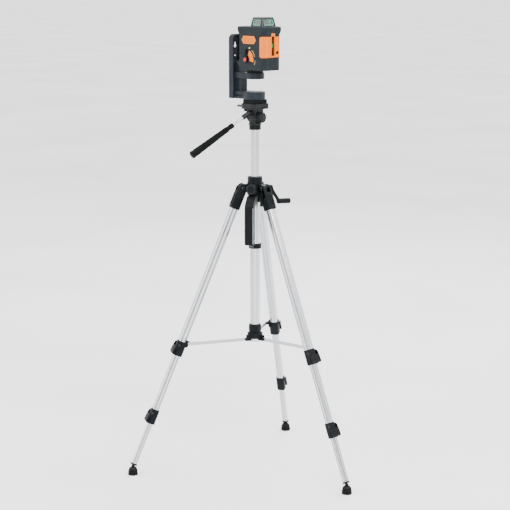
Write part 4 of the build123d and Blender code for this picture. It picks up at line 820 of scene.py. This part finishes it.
def dressBracket():
    # two seams round the back tray's sides and back, and a small screw hole in the foot's upper face: a rim round a
    # dark disc of painted shade
    softCopy("bracket", "bracket", 0.8)
    softCopy("clamp_wheel", "casting", 0.25)
    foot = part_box("bracket")[0][2] / mm
    front, back, half, cut = bracket["plateFront"], bracket["plateBack"], bracket["half"], bracket["plateCut"]
    plan = np.array([(front, -half), (back + cut, -half), (back, cut - half), (back, half - cut),
                     (back + cut, half), (front, half)])
    seams = [bead(fillPath(flatPath(plan, foot + height), 2.0, closed=False), bracket["seam"])
             for height in bracket["seams"]]
    addPiece("bracket_seams", seams, "bracket", "line")
    face, hole = placeAt((*bracket["holeAt"], foot + bracket["footTop"]), xWay, zWay), bracket["hole"]
    addPiece("bracket_hole_rim", [ringBand(hole, 0, holeBand, face, 40)], "bracket", "bracket")
    # the hole is not cut: this dark disc is painted shade
    addPiece("bracket_hole_shade", [lathe(drum(hole + 0.1, -0.3, 0.05, 0.1), face, 40)], "bracket", "line")


dressBracket()
print("bracket dressed")


# laser: heights are from the housing's base

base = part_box("housing")[0][2] / mm
laser = {"side": 30.5, "front": 61.5, "chamfer": 9.0, "panelBack": 46.0, "panelProud": 0.8, "panelCorner": 6.0,
         "cornerOverlap": 0.7, "panelLow": 31.0, "panelHigh": 82.0, "panelTab": 90.0, "tabHalf": 7.0, "outline": 0.55,
         "glint": 0.5, "glintEnd": 1.5, "seams": (-8.5, 8.5), "seam": 0.4, "blockSeam": (1.5, 30), "browGrow": 3.2,
         "browBack": 26.0, "browLip": 95.0, "lip": 0.55, "deck": 105.0}
glintInsets = [(-0.12, 0.12), (-0.2, 0.1), (-0.2, -0.1), (-0.12, -0.12)]
browSeam = [(0.02, 84.5), (1.7, 90), (3.22, 95), (3.22, 102.5)]  # in front of the shell, and up


def frontPlan(grow, back):
    # the shell's plan from one side round its chamfered front to the other, standing proud by grow
    side, front, cut = laser["side"], laser["front"], laser["chamfer"]
    near = np.array([(back, -side - grow), (front - cut, -side - grow), (front + grow, cut - side)])
    return np.concatenate([near, near[::-1] * (1, -1)])


def sideFace(at):
    # a place on the laser's right side, with x forwards
    return placeAt((at[0], -laser["side"], base + at[1]), xWay, -yWay)


def dressPanel():
    # The outline runs along the panel's lower edge and back along its upper edge and tab. Its back corners
    # are quarter circles, and a patch of the shell covers each sharp one.
    back, grow, tab, radius = laser["panelBack"], laser["panelProud"], laser["tabHalf"], laser["panelCorner"]
    plan = frontPlan(grow, back)
    low, high, tabHigh = (base + laser[key] for key in ("panelLow", "panelHigh", "panelTab"))
    turn = np.linspace(pi, 1.5 * pi, 8)
    arc = radius + radius * np.stack([np.cos(turn), np.sin(turn)], -1)

    def corner(y, height, up):
        return pathOf(back + arc[:, 0], y, height + up * arc[:, 1])

    near, far = plan[0][1], plan[-1][1]
    tabEdge = pathOf(plan[2][0], np.array([tab, tab, -tab, -tab]), np.array([high, tabHigh, tabHigh, high]))
    outline = np.concatenate([corner(near, low, 1), flatPath(plan[1:5], low), corner(far, low, 1)[::-1],
                              corner(far, high, -1), flatPath(plan[[4, 3]], high), tabEdge,
                              flatPath(plan[[2, 1]], high), corner(near, high, -1)[::-1]])
    beyond = -laser["cornerOverlap"]
    patch = np.concatenate([arc, [(radius, beyond), (beyond, beyond), (beyond, radius)]])
    patches = [slab(patch * (-side, up), -0.7, 0.12, 0.08,
                    placeAt((back, side * far, height), -side * xWay, side * yWay), 2)
               for side in (-1, 1) for height, up in ((low, 1), (high, -1))]
    addPiece("panel_corner_patches", patches, "housing", "shell")
    addPiece("panel_outline", [bead(fillPath(outline, 2.0), laser["outline"], closed=True, up=oddUp)],
             "front_panel", "rimLine")
    # the pale beads down the panel's four chamfer folds are painted highlights
    tall = np.linspace(low + laser["glintEnd"], high - laser["glintEnd"], 10)
    glints = [bead(pathOf(x, y, tall), laser["glint"], up=xWay) for x, y in plan[1:5] + glintInsets]
    addPiece("panel_glints", glints, "front_panel", "paleOrange")


def dressHousing():
    # the shell and the panel, then seams down the lower block and over the brow, and the brow's lip
    softCopy("housing", "shell", 0.8)
    softCopy("front_panel", "orange", 0.3)
    softCopy("front_window", "window", 0)
    softCopy("mode_button", "casting", 0.4)
    softCopy("battery_door", "shell", 0.4)
    dressPanel()
    out, up = np.array(browSeam).T
    seams = [bead(pathOf(laser["front"] + x, y, base + height), laser["seam"], up=oddUp)
             for y in laser["seams"] for x, height in ((out[0], np.linspace(*laser["blockSeam"], 8)), (out, up))]
    addPiece("front_seams", seams, "housing", "line")
    lip = fillPath(flatPath(frontPlan(laser["browGrow"], laser["browBack"]), base + laser["browLip"]), 3.0, False)
    addPiece("brow_lip", [bead(lip, laser["lip"], up=oddUp)], "housing", "shell")


slit = {"wallAt": (55.8, 59.0), "wallHalf": (4.0, 22.6), "wallSides": (-6.9, 6.3), "wallThick": 0.6, "lensAt": 52.1,
        "lensOut": 4.4, "lensHalf": 4.3, "lensLow": 36.8, "lensHigh": 81.2, "glowAt": (55.6, 2.2, 60.0),
        "glowHalf": 6.5, "glowRadius": 1.5}


def dressSlit():
    # orange walls inside the slit, darkened with painted shade, a half-round lens on its window, and a painted glowing
    # spot on the lens
    flat = placeAt((0, 0, base), xWay, -yWay)
    x, height = slit["wallAt"]
    wall = boxOutline(*slit["wallHalf"], 0.4, x=x, y=height)
    # the walls' darker orange is painted shade
    addPiece("slit_walls", [slab(wall, low, low + slit["wallThick"], 0.1, flat) for low in slit["wallSides"]],
             "housing", "liner")
    angle = np.linspace(-pi / 2, pi / 2, 16)
    halfRound = np.column_stack([slit["lensAt"] + slit["lensOut"] * np.cos(angle), slit["lensHalf"] * np.sin(angle)])
    lens = slab(halfRound, base + slit["lensLow"], base + slit["lensHigh"], 0.2)
    addPiece("slit_lens", [lens], "housing", "window")
    # the glowing spot is painted light
    turn = np.linspace(0.03, pi - 0.03, 14)
    profile = np.column_stack([slit["glowRadius"] * np.sin(turn), -slit["glowHalf"] * np.cos(turn)])
    spot = lathe(profile, placeAt(slit["glowAt"] + zWay * base, xWay, zWay), 20)
    addPiece("slit_glow", [spot], "housing", "glow")


badge = {"at": (9.5, 73.0), "long": 49.0, "tall": 19.0, "corner": 1.6, "thick": 0.6, "rimIn": 0.9, "rim": 0.4,
         "edgeOut": 0.6, "edge": 0.75}


def dressLabel():
    # a bare six-sided plate in a pale rim, with a dark line round it
    halfLong, halfTall = badge["long"] / 2, badge["tall"] / 2
    place = sideFace(badge["at"])
    point = halfLong - halfTall * 2 / 3
    corners = [(-halfLong, 0), (-point, -halfTall), (point, -halfTall), (halfLong, 0), (point, halfTall),
               (-point, halfTall)]
    outline = roundedPolygon(corners, badge["corner"])
    plate = addPiece("label_plate_blank", [slab(outline, 0, badge["thick"], 0.3, place)], "label_plate", "orange")
    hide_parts("label_plate")
    rim = bead(flatPath(drawnIn(outline, badge["rimIn"]), badge["thick"] + 0.02), badge["rim"], place, True)
    addPiece("label_rim", [rim], "label_plate", "paleOrange")
    edge = bead(flatPath(drawnIn(outline, -badge["edgeOut"]), 0.05), badge["edge"], place, True, flat=0.6)
    addPiece("label_outline", [edge], "housing", "rimLine")


switch = {"at": (0.5, 25.5), "inner": 10.5, "outer": 24.6, "turns": (-15, 66), "cap": 5.0, "ridges": 5, "ridgeAt": 9.5,
          "ridgePitch": 2.2, "ridgeHalf": 1.9, "ridgeTaper": 0.12, "ridgeRise": (3.4, 4.1), "markRise": (-0.05, 0.12),
          "arc": 30.0, "arcHalf": 0.45, "arcTurns": (14, 50), "rays": (28.8, 32.4), "rayHalf": 0.35,
          "rayTurns": (-3, -9, -15, -21), "lockTurn": 68, "lock": (1.9, 1.4), "shackle": (0.9, 1.4), "shackleUp": 1.3}


def dressSwitch():
    # the lever in its dish: an orange crescent, a pale arc, four rays and a small padlock
    face = sideFace(switch["at"])
    softCopy("switch_lever", "casting", 0.3)
    band = arcBand(switch["inner"], switch["outer"], *switch["turns"])
    addPiece("dish_crescent", [slab(band, -1.3, -0.35, 0.3, face)], "housing", "orange")
    addPiece("dish_outline", [bead(flatPath(drawnIn(band, -0.3), -0.7), 0.5, face, True)], "housing", "rimLine")
    addPiece("switch_cap", [lathe(drum(switch["cap"], 0.2, 4.9, 0.5, 0.25), face, 48)], "switch_lever", "red")
    half, taper, first, pitch = (switch[key] for key in ("ridgeHalf", "ridgeTaper", "ridgeAt", "ridgePitch"))
    ridges = [slab(boxOutline(half - taper * k, 0.35, 0.3, 3, y=first + pitch * k), *switch["ridgeRise"], 0.15, face)
              for k in range(switch["ridges"])]
    addPiece("switch_ridges", ridges, "switch_lever", "casting")
    arc, half = switch["arc"], switch["arcHalf"]
    marks = [slab(arcBand(arc - half, arc + half, *switch["arcTurns"]), *switch["markRise"], 0.03, face)]
    near, far = switch["rays"]
    shapes = []
    for turn in switch["rayTurns"]:
        way, across = spoke(1, turn)[:2], spoke(switch["rayHalf"], turn + 90)[:2]
        shapes.append(np.array([way * near - across, way * far - across, way * far + across, way * near + across]))
    lockAt = spoke(arc, switch["lockTurn"])[:2]
    shackle = arcBand(*switch["shackle"], 0, 180) + lockAt + (0, switch["shackleUp"])
    shapes += [boxOutline(*switch["lock"], 0.3, 3, *lockAt), shackle]
    marks += [slab(shape, *switch["markRise"], 0.02, face) for shape in shapes]
    addPiece("dish_marks", marks, "housing", "mark")


# each window's reach is from the cage's middle to its foot, and its half is half its width
cage = {"middle": 28.3, "rise": 10.25, "lean": atan(5.0 / 22.5), "windows": ((21.6, 17.5), (25.5, 13.6)),
        "halfTall": 7.25, "rimIn": 0.6, "rimCorner": 2.6, "rimDeep": -3.0, "rim": 0.75, "screwsAt": (25.5, 22.0),
        "screw": (1.7, 0.8), "emitter": (2.6, 114.6, 116.2, 0.6, 0.5)}
glowRing = [(8.2, 110.6), (9.2, 110.9), (9.3, 111.3), (8.1, 111.6)]


def dressCage():
    # window rims on the four sloping faces, a painted glowing ring and cone inside, and two screws in the deck
    softCopy("top_cage", "cage", 0.5, clamped=True)
    softCopy("cage_glass", "mint", 0)
    softCopy("optics", "optics", 0.3)
    middle, rise, lean = cage["middle"], cage["rise"], cage["lean"]
    deck = base + laser["deck"]
    rims = []
    for turn in (0, 90, 180, 270):
        reach, half = cage["windows"][turn // 90 % 2]
        out = spoke(1, turn)
        at = np.array([middle, 0, deck + rise]) + out * (reach - rise * tan(lean))
        face = placeAt(at, spoke(1, turn + 90), out * cos(lean) + zWay * sin(lean))
        outline = boxOutline(half - cage["rimIn"], cage["halfTall"] - cage["rimIn"], cage["rimCorner"])
        rims.append(bead(flatPath(outline, cage["rimDeep"]), cage["rim"], face, True))
    addPiece("cage_window_rims", rims, "top_cage", "mintRim")
    axis = placeAt((middle, 0, base), xWay, zWay)
    # the ring and the cone glow as painted light
    lit = [ringBand(0, 0, glowRing, axis, 48), lathe(drum(*cage["emitter"]), axis, 32)]
    addPiece("optics_glow", lit, "optics", "glow")
    x, y = cage["screwsAt"]
    screws = [screwHead(*cage["screw"], placeAt((middle + x, side * y, deck), xWay, zWay)) for side in (-1, 1)]
    addPiece("deck_screws", screws, "housing", "blueScrew")


dressHousing()
dressSlit()
dressLabel()
dressSwitch()
dressCage()
print("laser dressed")


# floor, lights and camera, in metres

stage = {"floor": 60.0, "floorFine": 0.5, "floorRings": 10, "floorSteps": 64, "floorTone": (248, 248, 248), "sky": 2.8,
         "flagRange": (0.55, 0.95), "flagTone": (0.2, 0.21, 0.22, 1)}
view = {"azimuth": -44.6, "distance": 3.906, "height": 1.273, "aim": 0.545, "lens": 112.4, "sensor": 36.0}
# where each lamp is, the height it aims at, its width and height, and its power in watts
lamps = {"key": ((2.6, -1.2, 3.2), 0.7, (2.4, 2.4), 170), "fill": ((-1.6, -3.0, 1.8), 0.7, (2.6, 2.6), 40),
         "back": ((-1.2, 2.6, 2.6), 0.8, (2.4, 1.8), 90), "front": ((2.1, -2.1, 1.5), 0.6, (0.7, 2.6), 25)}


def makeStage():
    # a wide disc, fine near the middle, whose rows are rings of growing radius
    count, steps = stage["floorRings"], stage["floorSteps"]
    rings = np.concatenate([[0.0], np.geomspace(stage["floorFine"], stage["floor"], count - 1)])
    mesh = bpy.data.meshes.new("floor")
    mesh.from_pydata(turnedGrid(rings[:, None], 0.0, steps).reshape(-1, 3).tolist(), [],
                     gridQuads(count, steps)[:, [0, 3, 2, 1]].tolist())
    mesh.validate()
    floor = bpy.data.objects.new("floor", mesh)
    bpy.context.scene.collection.objects.link(floor)
    mesh.materials.append(addFinish("floor", "pale floor", stage["floorTone"], second=(234, 234, 235), grain=30.0,
                                    rough=(0.75, 0.9), bump=0.02, specular=0.2, **bare))


def addAimed(name, data, at, aim):
    # a lamp or camera that looks from one point at a height on the tripod's axis, with its own x level
    item = bpy.data.objects.new(name, data)
    way = zWay * aim - at
    _, axes = placeAt(at, np.cross(way, zWay), -way)
    item.matrix_world = Matrix.Translation(at) @ Matrix(axes.T.tolist()).to_4x4()
    bpy.context.scene.collection.objects.link(item)
    return item


def makeLamps():
    for name, (at, aim, size, power) in lamps.items():
        light = bpy.data.lights.new(name, "AREA")
        light.shape = "RECTANGLE"
        light.size, light.size_y = size
        light.energy = power
        addAimed(name, light, at, aim).visible_camera = False


def makeCamera():
    lens = bpy.data.cameras.new("camera")
    lens.lens, lens.sensor_width = view["lens"], view["sensor"]
    at = spoke(view["distance"], view["azimuth"], view["height"])
    bpy.context.scene.camera = addAimed("camera", lens, at, view["aim"])


def makeSky():
    # even white light, greyer in front of and behind the tripod, for the metal's faces and rims to mirror
    sky = bpy.data.worlds.new("studio")
    sky.use_nodes = True
    tree = sky.node_tree
    way = addNode(tree, "TexCoord", {}).outputs["Generated"]
    near = addNode(tree, "VectorMath", {0: way, 1: spoke(1, view["azimuth"])}, operation="DOT_PRODUCT")
    nearOrFar = maths(tree, "ABSOLUTE", near.outputs["Value"])
    flag = spread(tree, nearOrFar, stage["flagRange"], curve="SMOOTHSTEP")
    background = tree.nodes["Background"]
    tree.links.new(mixColour(tree, flag, (1, 1, 1, 1), stage["flagTone"]), background.inputs[0])
    background.inputs[1].default_value = stage["sky"]
    bpy.context.scene.world = sky


makeStage()
makeLamps()
makeCamera()
makeSky()
print("stage set")
